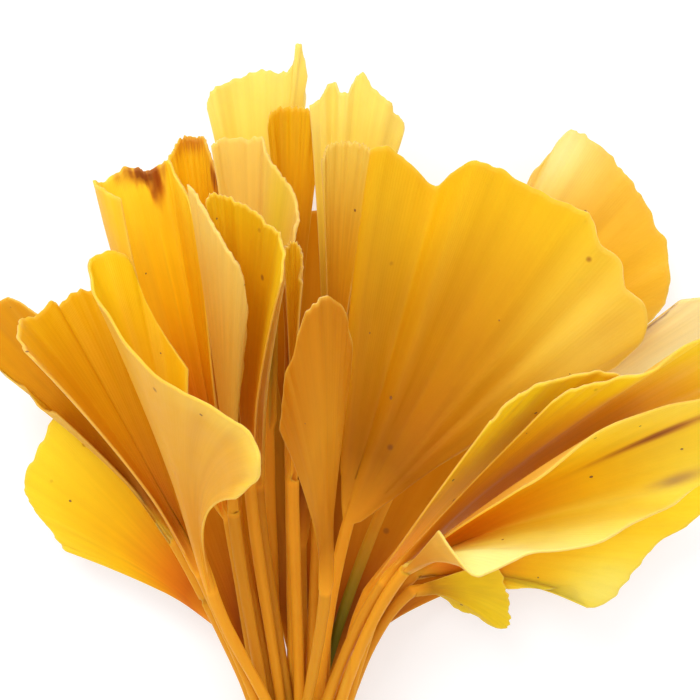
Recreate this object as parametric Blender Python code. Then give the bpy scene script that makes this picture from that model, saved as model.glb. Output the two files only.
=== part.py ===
"""A bunch of dried ginkgo leaves, lying on a flat surface and tied round its stalks.

Each leaf is one closed body: a round stalk that flattens into a thin fan-shaped blade. The leaves
are laid down one on another, from the lowest to the highest, so that none cuts another. The stalks
run together into a round bundle, which a ring of twine holds.
"""

from typing import NamedTuple

import bpy
import numpy as np

MM = 0.001

# The tie and the bundle of stalks, in millimetres. The bundle runs along +Y, rising a little.
TIE_CENTRE = np.array([-11.6, -46.0, 6.8])
BUNDLE_DIRECTION = np.array([0.12, 1.0, 0.0])
STALK_RADIUS = 0.98
STALK_PITCH = 2.45
BUNDLE_ROWS = (6, 6, 6, 5, 5)
STALK_TAIL = 15.0
STRAIGHT_STALK = 2.2
BUNDLE_PULL = 0.4
TAIL_SPLAY = 0.17
TAIL_DROP = 0.25
STALK_ROWS = 8
STALK_SIDES = 6
TIE_WIDTH = 2.6
TIE_THICKNESS = 1.1
TIE_GAP = 0.35
TIE_SEGMENTS = 32

# A blade: its thickness, where it starts on its ribs, and how finely it is divided.
BLADE_THICKNESS = 0.42
BLADE_START = 0.14
BLADE_ROWS = 6
MANY_RIBS = 8
LEAD_BEND = 0.7
THROAT_END = 0.4
THROAT_SPREAD = 0.45
THROAT_HALF_THICKNESS = 0.55

# How the leaves are laid one on another.
CELL = 0.3
CLEARANCE = 0.40
STALK_CLEARANCE = 0.15
FLOOR = -0.4
LAYING_ROUNDS = 26
SAMPLES_ALONG = 60
SAMPLES_ACROSS = 90
COVER_FACTOR = 4
STALK_SIDE_SAMPLES = np.array((-0.95, -0.7, -0.4, 0.0, 0.4, 0.7, 0.95))
GROUND_LOW = (-75.0, -75.0)
GROUND_HIGH = (75.0, 95.0)
GROUND_EDGE = 3
LEAST_LEVEL = 0.35
TINY = 1e-9

ROUGHNESS = 0.55
GOLD = (0.86, 0.52, 0.03)
PALE = (0.95, 0.74, 0.22)
TAN = (0.78, 0.44, 0.10)
AMBER = (0.70, 0.32, 0.02)
TWINE = (0.45, 0.33, 0.18)


class Leaf(NamedTuple):
    """One leaf: where its blade starts, and where its ribs end, from one side margin to the other.

    The reach says how long a rib keeps near the stalk's way before it bends off, as a share of its
    length. The fan says how far it has turned to its own way by then, at the two side margins.
    """

    name: str
    base: tuple
    tips: tuple
    reach: float = 0.38
    fan: tuple = (0.55, 0.55)
    colour: tuple = GOLD


# The leaves, from the lowest to the highest.
LEAVES = (
    Leaf("leaf_under_left", (-17, -35.5, 5),
         ((-42.5, 5, 0.4), (-38, 12, 0.4), (-33, 17.5, 0.4), (-27, 21, 0.4), (-20, 21, 0.4),
          (-9, 17.5, 0.6)),
         fan=(0.55, 1.2), colour=AMBER),
    Leaf("leaf_under_low", (-4, -30, 5),
         ((27, 5.5, 0.4), (31, 1, 0.4), (33.5, -4.5, 0.4), (32.5, -9, 0.4), (29.5, -13.5, 0.4),
          (24.5, -16.5, 0.4)),
         colour=AMBER),
    Leaf("leaf_under_middle", (-11.5, -31.5, 5.5),
         ((-24, 14, 1.2), (-18.5, 18, 1), (-12, 19.5, 1), (-4.5, 19.5, 1), (1.5, 17.5, 1),
          (8, 13.5, 1)),
         fan=(1.2, 0.8), colour=AMBER),
    Leaf("leaf_under_right", (-6.5, -32.5, 6),
         ((-8, 13.5, 2.2), (0, 14.5, 2), (7.5, 14, 1.7), (14.5, 13, 1.4), (21, 10.5, 1.2),
          (26, 6.5, 1.3), (29.5, 2, 1.5)),
         colour=AMBER),
    Leaf("leaf_under_centre", (-11, -12.5, 8),
         ((-19.5, 36, 8), (-15.5, 39, 8), (-11, 40, 8), (-5.5, 40, 8), (-1, 38, 8), (3.5, 34.5, 8)),
         colour=AMBER),
    Leaf("leaf_left_bright", (-24, -24.5, 7),
         ((-39.5, 10.5, 12), (-44, 10, 13), (-48.5, 8.5, 13), (-52, 3, 11), (-54.5, -3, 9),
          (-52.5, -7.5, 8), (-49.5, -11.5, 7), (-48, -13.5, 6)),
         fan=(0.5, 0.8)),
    Leaf("leaf_right_back", (4.5, -1, 8),
         ((24, 42.5, 8), (26, 46.5, 9), (28.5, 49.5, 9), (31, 52.5, 10), (33, 52, 10), (35, 50.5, 10),
          (38, 48, 9), (40, 45.5, 9), (42.5, 42.5, 8), (44.5, 38.5, 8), (46.5, 35, 7), (47, 31, 7),
          (47, 27, 6), (46, 24.5, 5), (44, 22.5, 4)),
         colour=PALE),
    Leaf("leaf_low_back", (7, -17, 8),
         ((57, -0.5, 9), (53.5, -6, 9), (49.5, -9.5, 8), (45, -12.5, 7), (41.5, -17, 6),
          (38, -21.5, 5), (34.5, -22.5, 5), (32, -19, 5), (29.5, -19.5, 6), (24.5, -19.5, 6),
          (21, -19.5, 6)),
         fan=(0.3, 0.8), colour=PALE),
    Leaf("leaf_top_pale", (-16, 5.5, 10),
         ((-25.5, 55.5, 14), (-24.5, 58.5, 15), (-21.5, 60, 13), (-17, 61.5, 14), (-13.5, 61, 15),
          (-12, 62.5, 15), (-11, 65.5, 16), (-10, 60.5, 14), (-10.5, 56, 13)),
         reach=0.45, colour=PALE),
    Leaf("leaf_left_back", (-30.5, -11.5, 13),
         ((-47, 21, 21), (-51.5, 24, 20), (-55.5, 26, 19), (-58.5, 24.5, 16), (-60, 21, 14),
          (-59.5, 17.5, 13), (-57.5, 15, 13), (-54, 12.5, 14), (-51, 9.5, 15), (-48.5, 8.5, 17)),
         fan=(0.3, 0.3)),
    Leaf("leaf_low_olive", (6.5, -19.5, 9),
         ((20, -15, 9), (21.5, -19.5, 8), (22, -23, 6), (22, -25.5, 5), (20, -26, 5), (18, -24.5, 4),
          (15.5, -23.5, 4), (13.5, -22.5, 4)),
         fan=(0.5, 0.5), colour=AMBER),
    Leaf("leaf_top_golden", (-12.5, 4, 11),
         ((-16, 52.5, 17), (-15.5, 54.5, 17), (-14, 55.5, 16), (-11.5, 55.5, 17), (-9.5, 55, 18),
          (-7.5, 52.5, 17)),
         reach=0.45, colour=AMBER),
    Leaf("leaf_upper_left_middle", (-21, -7, 11),
         ((-31, 47, 18), (-30.5, 49, 17), (-29, 51, 16), (-27, 51, 17), (-25.5, 50.5, 18),
          (-24.5, 47.5, 19), (-23, 42.5, 20)),
         reach=0.45, colour=PALE),
    Leaf("leaf_top_right", (-7.5, 4, 12),
         ((-9.5, 55.5, 18), (-8, 56.5, 18), (-7, 58, 19), (-6, 59, 19), (-4.5, 57.5, 20),
          (-3.5, 57.5, 20), (-2.5, 59.5, 20), (-1.5, 60.5, 20), (0, 58.5, 20), (1.5, 57, 20),
          (3, 56, 20), (3.5, 54.5, 19), (5, 53, 18), (4, 49.5, 17)),
         reach=0.45, colour=PALE),
    Leaf("leaf_cream_lobe", (4.5, -14.5, 12),
         ((40.5, 19.5, 24), (42.5, 22, 25), (44, 23.5, 27), (46, 25.5, 28), (49, 26, 28),
          (51, 24.5, 27), (51.5, 21.5, 24), (50.5, 18.5, 21), (48, 15.5, 18), (44.5, 13, 15)),
         fan=(0.4, 0.4), colour=PALE),
    Leaf("leaf_upper_left", (-22, -8, 13),
         ((-37.5, 40.5, 30), (-40, 42, 28.5), (-42, 43.5, 25), (-40.5, 44, 21), (-38, 46, 20),
          (-35.5, 46, 20), (-34, 45.5, 20), (-32, 46.5, 21), (-31, 47, 21), (-29, 44, 23),
          (-27, 39.5, 25), (-25.5, 35, 27)),
         reach=0.5, fan=(2.0, 0.55)),
    Leaf("leaf_upper_middle", (-17.5, -3, 14),
         ((-24, 49, 26), (-22.5, 50, 25), (-19, 50, 25), (-16.5, 50, 26), (-15.5, 47.5, 27),
          (-14, 45, 28), (-12.5, 43, 29), (-11, 39.5, 31), (-11, 37, 32), (-12, 33.5, 32)),
         reach=0.45, colour=TAN),
    Leaf("leaf_middle_right", (-6.5, 2.5, 14),
         ((-7.5, 46.5, 26), (-6.5, 49, 26), (-4, 49.5, 26), (-1.5, 49, 27), (0.5, 47.5, 28)),
         reach=0.45, colour=AMBER),
    Leaf("leaf_middle_narrow", (-12, -2, 18),
         ((-13, 32.5, 36), (-12, 34, 36), (-10.5, 33, 36), (-10.5, 27.5, 34)),
         reach=0.5, fan=(0.3, 0.3)),
    Leaf("leaf_inner_left", (-18.5, -2.5, 20),
         ((-24.5, 40, 36), (-23.5, 41, 36), (-22, 41, 36), (-20, 40, 37), (-17.5, 38.5, 38),
          (-15.5, 36.5, 40), (-13.5, 35, 43), (-12.5, 32, 46), (-13, 28, 47)),
         reach=0.45, colour=AMBER),
    Leaf("leaf_rolled_tan", (-21, -6.5, 21),
         ((-27, 42.5, 36), (-25.5, 40.5, 39), (-24, 38, 41), (-22, 34.5, 43), (-20, 31.5, 44),
          (-18.6, 28.5, 43), (-18.2, 24, 39.5), (-18.6, 19, 35), (-19.4, 15, 31.5), (-20.6, 11, 29)),
         reach=0.45, colour=TAN),
    Leaf("leaf_big_fan", (-3.5, -8, 21),
         ((2.5, 46.5, 31), (1, 47.5, 33), (0, 47.5, 35), (2, 48, 36), (4, 47, 35), (6.5, 45, 33),
          (9.5, 42.5, 31), (12, 44.5, 33), (15, 46, 35), (17, 45.5, 35), (19.5, 44.5, 34),
          (23, 42.5, 33), (26, 41, 34), (30, 39.3, 35), (32.3, 37.5, 35), (33.3, 34.2, 35),
          (36.4, 31.6, 34), (37.3, 27.4, 34), (40.3, 25, 33), (40.8, 21, 31.5), (39.3, 18.5, 30),
          (36.5, 15.5, 28)),
         reach=0.42, fan=(1.8, 0.9)),
    Leaf("leaf_lower_golden", (-0.5, -19, 19),
         ((16.5, 8, 49), (19.5, 11, 49), (23, 13, 48), (28, 14.3, 46), (33.5, 15, 44), (38, 13, 41),
          (38.5, 10.5, 38), (37.5, 7.5, 35)),
         fan=(0.8, 0.4)),
    Leaf("leaf_lower_cup", (2, -16.5, 25),
         ((25.5, 11, 49), (29, 13, 50), (33.5, 14, 49), (39.5, 15.5, 47), (44.5, 18.5, 45),
          (49, 20.5, 41), (52.5, 20.5, 38), (54, 17.5, 34), (53.5, 14, 31), (51.5, 11, 29)),
         fan=(0.5, 0.4), colour=AMBER),
    Leaf("leaf_left_rolled", (-26, -16, 20),
         ((-49, 17, 40), (-51, 18.5, 37), (-52.5, 21, 32), (-52.5, 23, 28), (-50.5, 23.5, 25),
          (-48.5, 25.5, 23), (-47.5, 25, 22), (-45.5, 27, 21), (-43, 27.5, 20), (-40.5, 27.5, 19),
          (-38, 25.5, 18)),
         fan=(0.4, 0.3)),
    Leaf("leaf_lower_bright", (5, -14.5, 29),
         ((21, -1.5, 49), (24, 0.5, 51), (31.5, 6.5, 52), (39, 9.5, 50), (46.5, 11, 47), (52, 11, 43),
          (54.5, 7.5, 39), (54, 3.5, 36), (50.5, 0, 34), (46.5, -3, 34), (42, -5.5, 37),
          (37, -7.5, 40), (32.5, -9.5, 43), (26.5, -10.5, 46), (21.5, -11, 48), (16.5, -13.5, 49),
          (14.5, -13.5, 49), (12.5, -12, 48), (10.5, -9.5, 47), (9.5, -7.5, 46)),
         fan=(0.5, 0.5)),
    Leaf("leaf_calla", (-24, -18, 26),
         ((-19, -2.5, 57), (-17, -0.5, 61), (-15.5, 1.5, 64), (-15.5, 4, 65), (-17, 7, 64),
          (-19.5, 9, 63), (-22.5, 10.8, 62), (-26.5, 12.6, 60), (-30.7, 15, 58), (-34.3, 18.7, 54),
          (-37.6, 23, 49), (-40, 26.5, 44), (-41, 29, 39), (-41.5, 31, 35), (-40.5, 32.5, 32),
          (-38.5, 33, 31), (-36.5, 32, 30), (-35, 29, 30), (-33, 24.5, 31), (-30.3, 20, 32),
          (-27, 15.5, 34)),
         reach=0.5, fan=(0.1, 0.1), colour=TAN),
    Leaf("leaf_front_small", (-7, -18, 27),
         ((-13.5, 7, 38), (-13, 11.5, 42), (-12.5, 15, 45), (-11.5, 17.5, 47), (-10, 22.5, 50),
          (-8, 25, 51), (-6.5, 26, 50), (-4.5, 24.5, 47), (-3.5, 21, 43), (-3.5, 15.5, 37),
          (-4.5, 9.5, 32)),
         reach=0.4, fan=(0.4, 0.4)),
)


def unit(vector):
    """The vector, or each row of vectors, at length one."""
    return vector / np.linalg.norm(vector, axis=-1, keepdims=True)


AXIS = unit(BUNDLE_DIRECTION)
RIGHT = unit(np.cross(AXIS, (0.0, 0.0, 1.0)))
UP = np.cross(RIGHT, AXIS)


def smooth_through(points, places):
    """A smooth curve through the points, read at places from 0 to 1."""
    last = len(points) - 1
    padded = np.vstack([2 * points[0] - points[1], points, 2 * points[-1] - points[-2]])
    where = np.clip(places, 0.0, 1.0) * last
    index = np.minimum(where.astype(int), last - 1)
    f = (where - index)[:, None]
    a, b, c, d = (padded[index + k] for k in range(4))
    return 0.5 * (2 * b + (c - a) * f + (2 * a - 5 * b + 4 * c - d) * f**2 + (3 * (b - c) + d - a) * f**3)


def bundle_slots(leaves):
    """Each leaf's place in the bundle at the tie, so that the stalks keep their order."""
    slots = {}
    first = 0
    middle_row = (len(BUNDLE_ROWS) - 1) / 2
    for row, count in enumerate(BUNDLE_ROWS):
        level = list(leaves[first:first + count])
        level.sort(key=lambda leaf: (leaf.base[0] - TIE_CENTRE[0]) / (leaf.base[1] - TIE_CENTRE[1]))
        for column, leaf in enumerate(level):
            across = (column - (len(level) - 1) / 2) * STALK_PITCH
            height = (row - middle_row) * STALK_PITCH * np.sqrt(0.75)
            slots[leaf.name] = TIE_CENTRE + RIGHT * across + UP * height
        first += count
    return slots


def rib_tips(leaf, places):
    """The blade's far margin, from the base, as a smooth curve through the ribs' ends."""
    return smooth_through(np.array(leaf.tips) - np.array(leaf.base), places)


def column_count(leaf):
    """How many columns of points the blade has: one at each rib, and between few ribs one more."""
    return len(leaf.tips) if len(leaf.tips) >= MANY_RIBS else 2 * len(leaf.tips) - 1


def lead_direction(leaf, slot):
    """The way the stalk runs where it becomes the blade."""
    middle = unit(rib_tips(leaf, np.linspace(0, 1, 9)).mean(axis=0))
    return unit(unit(np.array(leaf.base) - slot) + LEAD_BEND * middle)


def blade_sheet(leaf, slot, along, across):
    """The blade's middle surface: each rib leaves the base along the stalk and bends to its tip."""
    tips = rib_tips(leaf, across)
    length = np.linalg.norm(tips, axis=1, keepdims=True)
    lead = lead_direction(leaf, slot)
    fan = (leaf.fan[0] + (leaf.fan[1] - leaf.fan[0]) * across)[:, None]
    control = leaf.reach * length * unit(lead + fan * (tips / length - lead))
    s = along[:, None, None]
    return np.array(leaf.base) + 2 * s * (1 - s) * control + s**2 * tips


def stalk_line(leaf, slot, places):
    """The stalk's middle line, from its slot at the tie to the blade's base."""
    base = np.array(leaf.base)
    start = slot + AXIS * STRAIGHT_STALK
    gap = np.linalg.norm(base - start)
    u = places[:, None]
    near = (2 * u**3 - 3 * u**2 + 1) * start + (u**3 - 2 * u**2 + u) * AXIS * gap * BUNDLE_PULL
    return near + (3 * u**2 - 2 * u**3) * base + (u**3 - u**2) * lead_direction(leaf, slot) * gap


def tail_end(slot):
    """Where a stalk ends, past the tie, a little spread from its neighbours."""
    offset = slot - TIE_CENTRE
    if offset[2] < 0:
        offset[2] *= TAIL_DROP
    spread = TAIL_SPLAY * offset / (2 * STALK_PITCH)
    return slot - unit(AXIS - spread) * STALK_TAIL


def refine(lift, rows, columns):
    """Bilinear reading of a coarse grid of lifts at a finer grid of places."""
    y = np.linspace(0, lift.shape[0] - 1, rows)
    x = np.linspace(0, lift.shape[1] - 1, columns)
    i = np.minimum(y.astype(int), lift.shape[0] - 2)
    j = np.minimum(x.astype(int), lift.shape[1] - 2)
    fy, fx = (y - i)[:, None], (x - j)[None, :]
    low = lift[i][:, j] * (1 - fx) + lift[i][:, j + 1] * fx
    high = lift[i + 1][:, j] * (1 - fx) + lift[i + 1][:, j + 1] * fx
    return low * (1 - fy) + high * fy


class Ground:
    """The height of what already lies on the surface, cell by cell."""

    def __init__(self):
        """Start with the bare surface."""
        self.low = np.array(GROUND_LOW)
        self.shape = tuple(np.ceil((np.array(GROUND_HIGH) - self.low) / CELL).astype(int) + 1)
        self.height = np.full(self.shape, FLOOR)

    def cells(self, points):
        """The cell under each point."""
        place = np.round((points[..., :2] - self.low) / CELL).astype(int)
        last = np.array(self.shape) - 1 - GROUND_EDGE
        place = np.clip(place, GROUND_EDGE, last)
        return place[..., 0], place[..., 1]

    def under(self, points, margin=2):
        """The greatest height round each point, within a margin counted in cells."""
        i, j = self.cells(points)
        steps = (-margin, 0, margin) if margin else (0,)
        return np.max([self.height[i + a, j + b] for a in steps for b in steps], axis=0)

    def cover(self, points):
        """Raise the ground to the points."""
        np.maximum.at(self.height, self.cells(points), points[..., 2])


def relax(lift):
    """Even out the lifts, leaving each at least half of what it was."""
    padded = np.pad(lift, 1, mode="edge")
    around = (padded[:-2, 1:-1] + padded[2:, 1:-1] + padded[1:-1, :-2] + padded[1:-1, 2:]) / 4
    return 0.5 * (lift + around)


def sheet_normals(sheet):
    """The normals of a grid of points, on its upper side."""
    normal = np.cross(np.gradient(sheet, axis=1), np.gradient(sheet, axis=0))
    return normal / np.maximum(np.linalg.norm(normal, axis=2, keepdims=True), TINY)


def slope_factor(sheet):
    """How much further apart in height two sloping sheets lie than two level ones."""
    level = np.abs(sheet_normals(sheet)[..., 2])
    return 1.0 / np.maximum(level, LEAST_LEVEL)


def lay_leaf(leaf, slot, ground):
    """Raise the leaf, as little as it takes, until it lies clear of everything below it.

    Returns the lifts of the blade's grid and those of the stalk's line.
    """
    along = BLADE_START + (1 - BLADE_START) * np.linspace(0, 1, SAMPLES_ALONG)
    fine = blade_sheet(leaf, slot, along, np.linspace(0, 1, SAMPLES_ACROSS))
    half = 0.5 * BLADE_THICKNESS
    need = ground.under(fine) + (half + CLEARANCE) * slope_factor(fine) - fine[..., 2]
    columns = column_count(leaf)
    lift = np.zeros((BLADE_ROWS + 1, columns))
    nearest_row = np.round(np.linspace(0, BLADE_ROWS, SAMPLES_ALONG)).astype(int)
    nearest_column = np.round(np.linspace(0, columns - 1, SAMPLES_ACROSS)).astype(int)
    nearest = (np.repeat(nearest_row, SAMPLES_ACROSS), np.tile(nearest_column, SAMPLES_ALONG))
    places = np.linspace(0, 1, COVER_FACTOR * SAMPLES_ALONG)
    line = stalk_line(leaf, slot, places)
    sides = line[:, None, :] + RIGHT * (STALK_RADIUS * STALK_SIDE_SAMPLES)[None, :, None]
    belly = STALK_RADIUS * np.sqrt(1 - STALK_SIDE_SAMPLES**2)
    stalk_need = (ground.under(sides, 0) + belly + STALK_CLEARANCE - sides[..., 2]).max(axis=1)
    nodes = np.arange(STALK_ROWS + 1)
    nearest_node = np.round(places * STALK_ROWS).astype(int)
    stalk_lift = np.zeros((1, STALK_ROWS + 1))
    for turn in range(LAYING_ROUNDS):
        push = np.zeros_like(lift)
        short = need - refine(lift, SAMPLES_ALONG, SAMPLES_ACROSS)
        np.maximum.at(push, nearest, np.maximum(short, 0).ravel())
        lift = lift + push
        stalk_push = np.zeros(STALK_ROWS + 1)
        stalk_short = stalk_need - np.interp(places * STALK_ROWS, nodes, stalk_lift[0])
        np.maximum.at(stalk_push, nearest_node, np.maximum(stalk_short, 0))
        stalk_push[0] = 0.0
        stalk_lift = stalk_lift + stalk_push
        shared = max(lift[0].max(), stalk_lift[0, -1])
        lift[0] = shared
        stalk_lift[0, -1] = shared
        if turn < LAYING_ROUNDS - 1:
            lift = relax(lift)
            stalk_lift = relax(stalk_lift)
            stalk_lift[0, 0] = 0.0
    cover_leaf(leaf, slot, lift, stalk_lift[0], ground)
    return lift, stalk_lift[0]


def cover_leaf(leaf, slot, lift, stalk_lift, ground):
    """Add the leaf, where it has come to lie, to what lies on the surface."""
    rows, columns = COVER_FACTOR * SAMPLES_ALONG, COVER_FACTOR * SAMPLES_ACROSS
    along = BLADE_START + (1 - BLADE_START) * np.linspace(0, 1, rows)
    sheet = blade_sheet(leaf, slot, along, np.linspace(0, 1, columns))
    sheet[..., 2] += refine(lift, rows, columns)
    sheet[..., 2] += 0.5 * BLADE_THICKNESS * slope_factor(sheet)
    ground.cover(sheet)
    places = np.linspace(0, 1, rows)
    line = stalk_line(leaf, slot, places)
    line[:, 2] += np.interp(places * STALK_ROWS, np.arange(STALK_ROWS + 1), stalk_lift)
    for side in STALK_SIDE_SAMPLES:
        top = line + RIGHT * side * STALK_RADIUS
        top[:, 2] += STALK_RADIUS * np.sqrt(1 - side**2)
        ground.cover(top)


def stitch(low, high, low_shares, high_shares):
    """Triangles between two rings of different counts.

    Each ring is given by its points' indices and by their shares of the turn.
    """
    faces = []
    i = j = 0
    low_count, high_count = len(low), len(high)
    while i < low_count or j < high_count:
        next_low = low_shares[(i + 1) % low_count] + (i + 1) // low_count
        next_high = high_shares[(j + 1) % high_count] + (j + 1) // high_count
        if j >= high_count or (i < low_count and next_low <= next_high):
            faces.append((low[i % low_count], low[(i + 1) % low_count], high[j % high_count]))
            i += 1
        else:
            faces.append((low[i % low_count], high[(j + 1) % high_count], high[j % high_count]))
            j += 1
    return faces


def stalk_rings(line, start_side, end_side):
    """Rings of points round the stalk's line, turning from one side direction to the other."""
    rings = []
    way = unit(np.gradient(line, axis=0))
    turns = np.pi - np.arange(STALK_SIDES) * 2 * np.pi / STALK_SIDES
    for share, centre, direction in zip(np.linspace(0, 1, len(line)), line, way):
        side = start_side * (1 - share) + end_side * share
        side = unit(side - direction * np.dot(side, direction))
        over = np.cross(side, direction)
        ring = np.cos(turns)[:, None] * side + np.sin(turns)[:, None] * over
        rings.append(centre + STALK_RADIUS * ring)
    return np.array(rings)


def leaf_mesh(leaf, slot, lift, stalk_lift):
    """The leaf's points and triangles, as one closed body."""
    along = BLADE_START + (1 - BLADE_START) * np.linspace(0, 1, BLADE_ROWS + 1)
    columns = column_count(leaf)
    across = np.linspace(0, 1, columns)
    sheet = blade_sheet(leaf, slot, along, across)
    sheet[..., 2] += lift
    normal = sheet_normals(sheet)
    side = unit(sheet[0, -1] - sheet[0, 0])
    growth = np.clip(np.linspace(0, 1, BLADE_ROWS + 1) / THROAT_END, 0, 1)[:, None, None]
    sheet = sheet + (1 - growth) * THROAT_SPREAD * side * (2 * across - 1)[None, :, None]
    half = (THROAT_HALF_THICKNESS * (1 - growth) + 0.5 * BLADE_THICKNESS * growth) * normal
    upper, lower = sheet + half, sheet - half
    count = sheet.shape[0] * columns
    top = np.arange(count).reshape(-1, columns)
    under = top + count
    faces = []
    for i in range(BLADE_ROWS):
        for j in range(columns - 1):
            faces.append((top[i, j], top[i, j + 1], top[i + 1, j + 1]))
            faces.append((top[i, j], top[i + 1, j + 1], top[i + 1, j]))
            faces.append((under[i, j], under[i + 1, j + 1], under[i, j + 1]))
            faces.append((under[i, j], under[i + 1, j], under[i + 1, j + 1]))
        for edge, turn in ((0, 1), (-1, -1)):
            quad = (top[i, edge], top[i + 1, edge], under[i + 1, edge], under[i, edge])[::turn]
            faces.append(quad[:3])
            faces.append((quad[0], quad[2], quad[3]))
    for j in range(columns - 1):
        faces.append((top[-1, j], top[-1, j + 1], under[-1, j + 1]))
        faces.append((top[-1, j], under[-1, j + 1], under[-1, j]))
    line = stalk_line(leaf, slot, np.linspace(0, 1, STALK_ROWS + 1))
    line[:, 2] += stalk_lift
    end = tail_end(slot)
    line = np.vstack([end, (end + slot - AXIS * STRAIGHT_STALK) / 2, slot - AXIS * STRAIGHT_STALK, line])
    rings = stalk_rings(line, RIGHT, side)
    ring = 2 * count + np.arange(rings.shape[0] * STALK_SIDES).reshape(-1, STALK_SIDES)
    for low, high in zip(ring[:-1], ring[1:]):
        for k in range(STALK_SIDES):
            after = (k + 1) % STALK_SIDES
            faces.append((low[k], low[after], high[after]))
            faces.append((low[k], high[after], high[k]))
    for k in range(1, STALK_SIDES - 1):
        faces.append((ring[0, 0], ring[0, k + 1], ring[0, k]))
    loop = np.concatenate([top[0], under[0][::-1]])
    over = np.linspace(0, 0.5, columns, endpoint=False)
    shares = np.concatenate([over, 0.5 + over])
    faces += stitch(ring[-1], loop, np.arange(STALK_SIDES) / STALK_SIDES, shares)
    points = np.concatenate([upper.reshape(-1, 3), lower.reshape(-1, 3), rings.reshape(-1, 3)])
    return points, faces


def finish(name, colour):
    """A plain dry-leaf material."""
    material = bpy.data.materials.new(name + "_finish")
    material.use_nodes = True
    shader = material.node_tree.nodes["Principled BSDF"]
    shader.inputs["Base Color"].default_value = (*colour, 1.0)
    shader.inputs["Roughness"].default_value = ROUGHNESS
    shader.inputs["Metallic"].default_value = 0.0
    return material


def add_object(name, points, faces, colour):
    """A named object from points and triangles, smooth-shaded, with its own material."""
    mesh = bpy.data.meshes.new(name)
    mesh.from_pydata([tuple(map(float, point)) for point in points], [],
                     [tuple(int(k) for k in face) for face in faces])
    mesh.validate()
    mesh.shade_smooth()
    mesh.materials.append(finish(name, colour))
    made = bpy.data.objects.new(name, mesh)
    bpy.context.scene.collection.objects.link(made)
    return made


def bundle_outline(slots):
    """The turns round the bundle, and how far its outermost stalk reaches at each."""
    offsets = np.array(list(slots.values())) - TIE_CENTRE
    flat = np.stack([offsets @ RIGHT, offsets @ UP], -1)
    turns = np.linspace(0, 2 * np.pi, TIE_SEGMENTS, endpoint=False)
    rays = np.stack([np.cos(turns), np.sin(turns)], -1)
    return turns, (rays @ flat.T).max(axis=1) + STALK_RADIUS


def tie_mesh(slots):
    """The twine round the bundle, as one closed ring that follows its outline."""
    turns, support = bundle_outline(slots)
    inner = support + TIE_GAP
    outer = inner + TIE_THICKNESS
    profile = ((inner, -1), (outer, -1), (outer, 1), (inner, 1))
    points = []
    for radius, end in profile:
        ring = np.cos(turns)[:, None] * RIGHT + np.sin(turns)[:, None] * UP
        points.append(TIE_CENTRE + ring * radius[:, None] + AXIS * end * TIE_WIDTH / 2)
    faces = []
    for p in range(len(profile)):
        q = (p + 1) % len(profile)
        for k in range(TIE_SEGMENTS):
            after = (k + 1) % TIE_SEGMENTS
            a, b = p * TIE_SEGMENTS + k, p * TIE_SEGMENTS + after
            c, d = q * TIE_SEGMENTS + after, q * TIE_SEGMENTS + k
            faces.append((a, c, b))
            faces.append((a, d, c))
    return np.concatenate(points), faces


def clear_scene():
    """Start from an empty scene."""
    for thing in list(bpy.data.objects):
        bpy.data.objects.remove(thing)


def make_pieces():
    """Lay the leaves down from the lowest to the highest, and tie them.

    Returns each piece's name, points, faces and colour.
    """
    slots = bundle_slots(LEAVES)
    ground = Ground()
    pieces = []
    for leaf in LEAVES:
        slot = slots[leaf.name]
        lift, stalk_lift = lay_leaf(leaf, slot, ground)
        pieces.append((leaf.name, *leaf_mesh(leaf, slot, lift, stalk_lift), leaf.colour))
    pieces.append(("stalk_tie", *tie_mesh(slots), TWINE))
    return pieces


def bottom_centre(pieces):
    """The middle of the underside of everything's box."""
    everything = np.concatenate([points for _, points, _, _ in pieces])
    low, high = everything.min(axis=0), everything.max(axis=0)
    return np.array(((low[0] + high[0]) / 2, (low[1] + high[1]) / 2, low[2]))


def main():
    """Model the bunch with its origin at the middle of its underside."""
    clear_scene()
    pieces = make_pieces()
    origin = bottom_centre(pieces)
    for name, points, faces, colour in pieces:
        add_object(name, (points - origin) * MM, faces, colour)


main()
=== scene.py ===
"""The finish of a dried ginkgo leaf bunch: every leaf with its veins and stalk, and the twine.

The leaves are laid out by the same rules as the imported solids: each blade fans out from its stalk, and
each leaf is raised until it lies clear of the ones below. Here each leaf gets its fine form.
"""

import logging
import math
from dataclasses import dataclass, field
from enum import Enum

import bpy
import numpy as np
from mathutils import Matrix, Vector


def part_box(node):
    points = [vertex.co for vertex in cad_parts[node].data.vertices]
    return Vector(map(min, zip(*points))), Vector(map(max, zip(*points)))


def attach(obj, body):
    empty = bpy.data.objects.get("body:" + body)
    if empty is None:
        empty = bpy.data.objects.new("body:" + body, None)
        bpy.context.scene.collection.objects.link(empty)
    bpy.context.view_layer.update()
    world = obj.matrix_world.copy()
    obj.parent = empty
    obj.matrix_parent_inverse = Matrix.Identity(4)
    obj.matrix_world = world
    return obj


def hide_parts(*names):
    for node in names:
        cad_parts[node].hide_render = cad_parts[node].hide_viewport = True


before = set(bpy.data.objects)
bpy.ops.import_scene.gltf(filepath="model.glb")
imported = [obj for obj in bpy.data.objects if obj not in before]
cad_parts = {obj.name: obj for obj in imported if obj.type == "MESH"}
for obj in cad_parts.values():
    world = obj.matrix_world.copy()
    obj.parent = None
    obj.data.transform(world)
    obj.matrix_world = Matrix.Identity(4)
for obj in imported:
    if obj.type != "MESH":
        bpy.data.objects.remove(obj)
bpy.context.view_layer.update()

log = logging.getLogger("leaf_bunch")

MM = 0.001
Colour = tuple[float, float, float]
Point = tuple[float, float, float]

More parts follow.
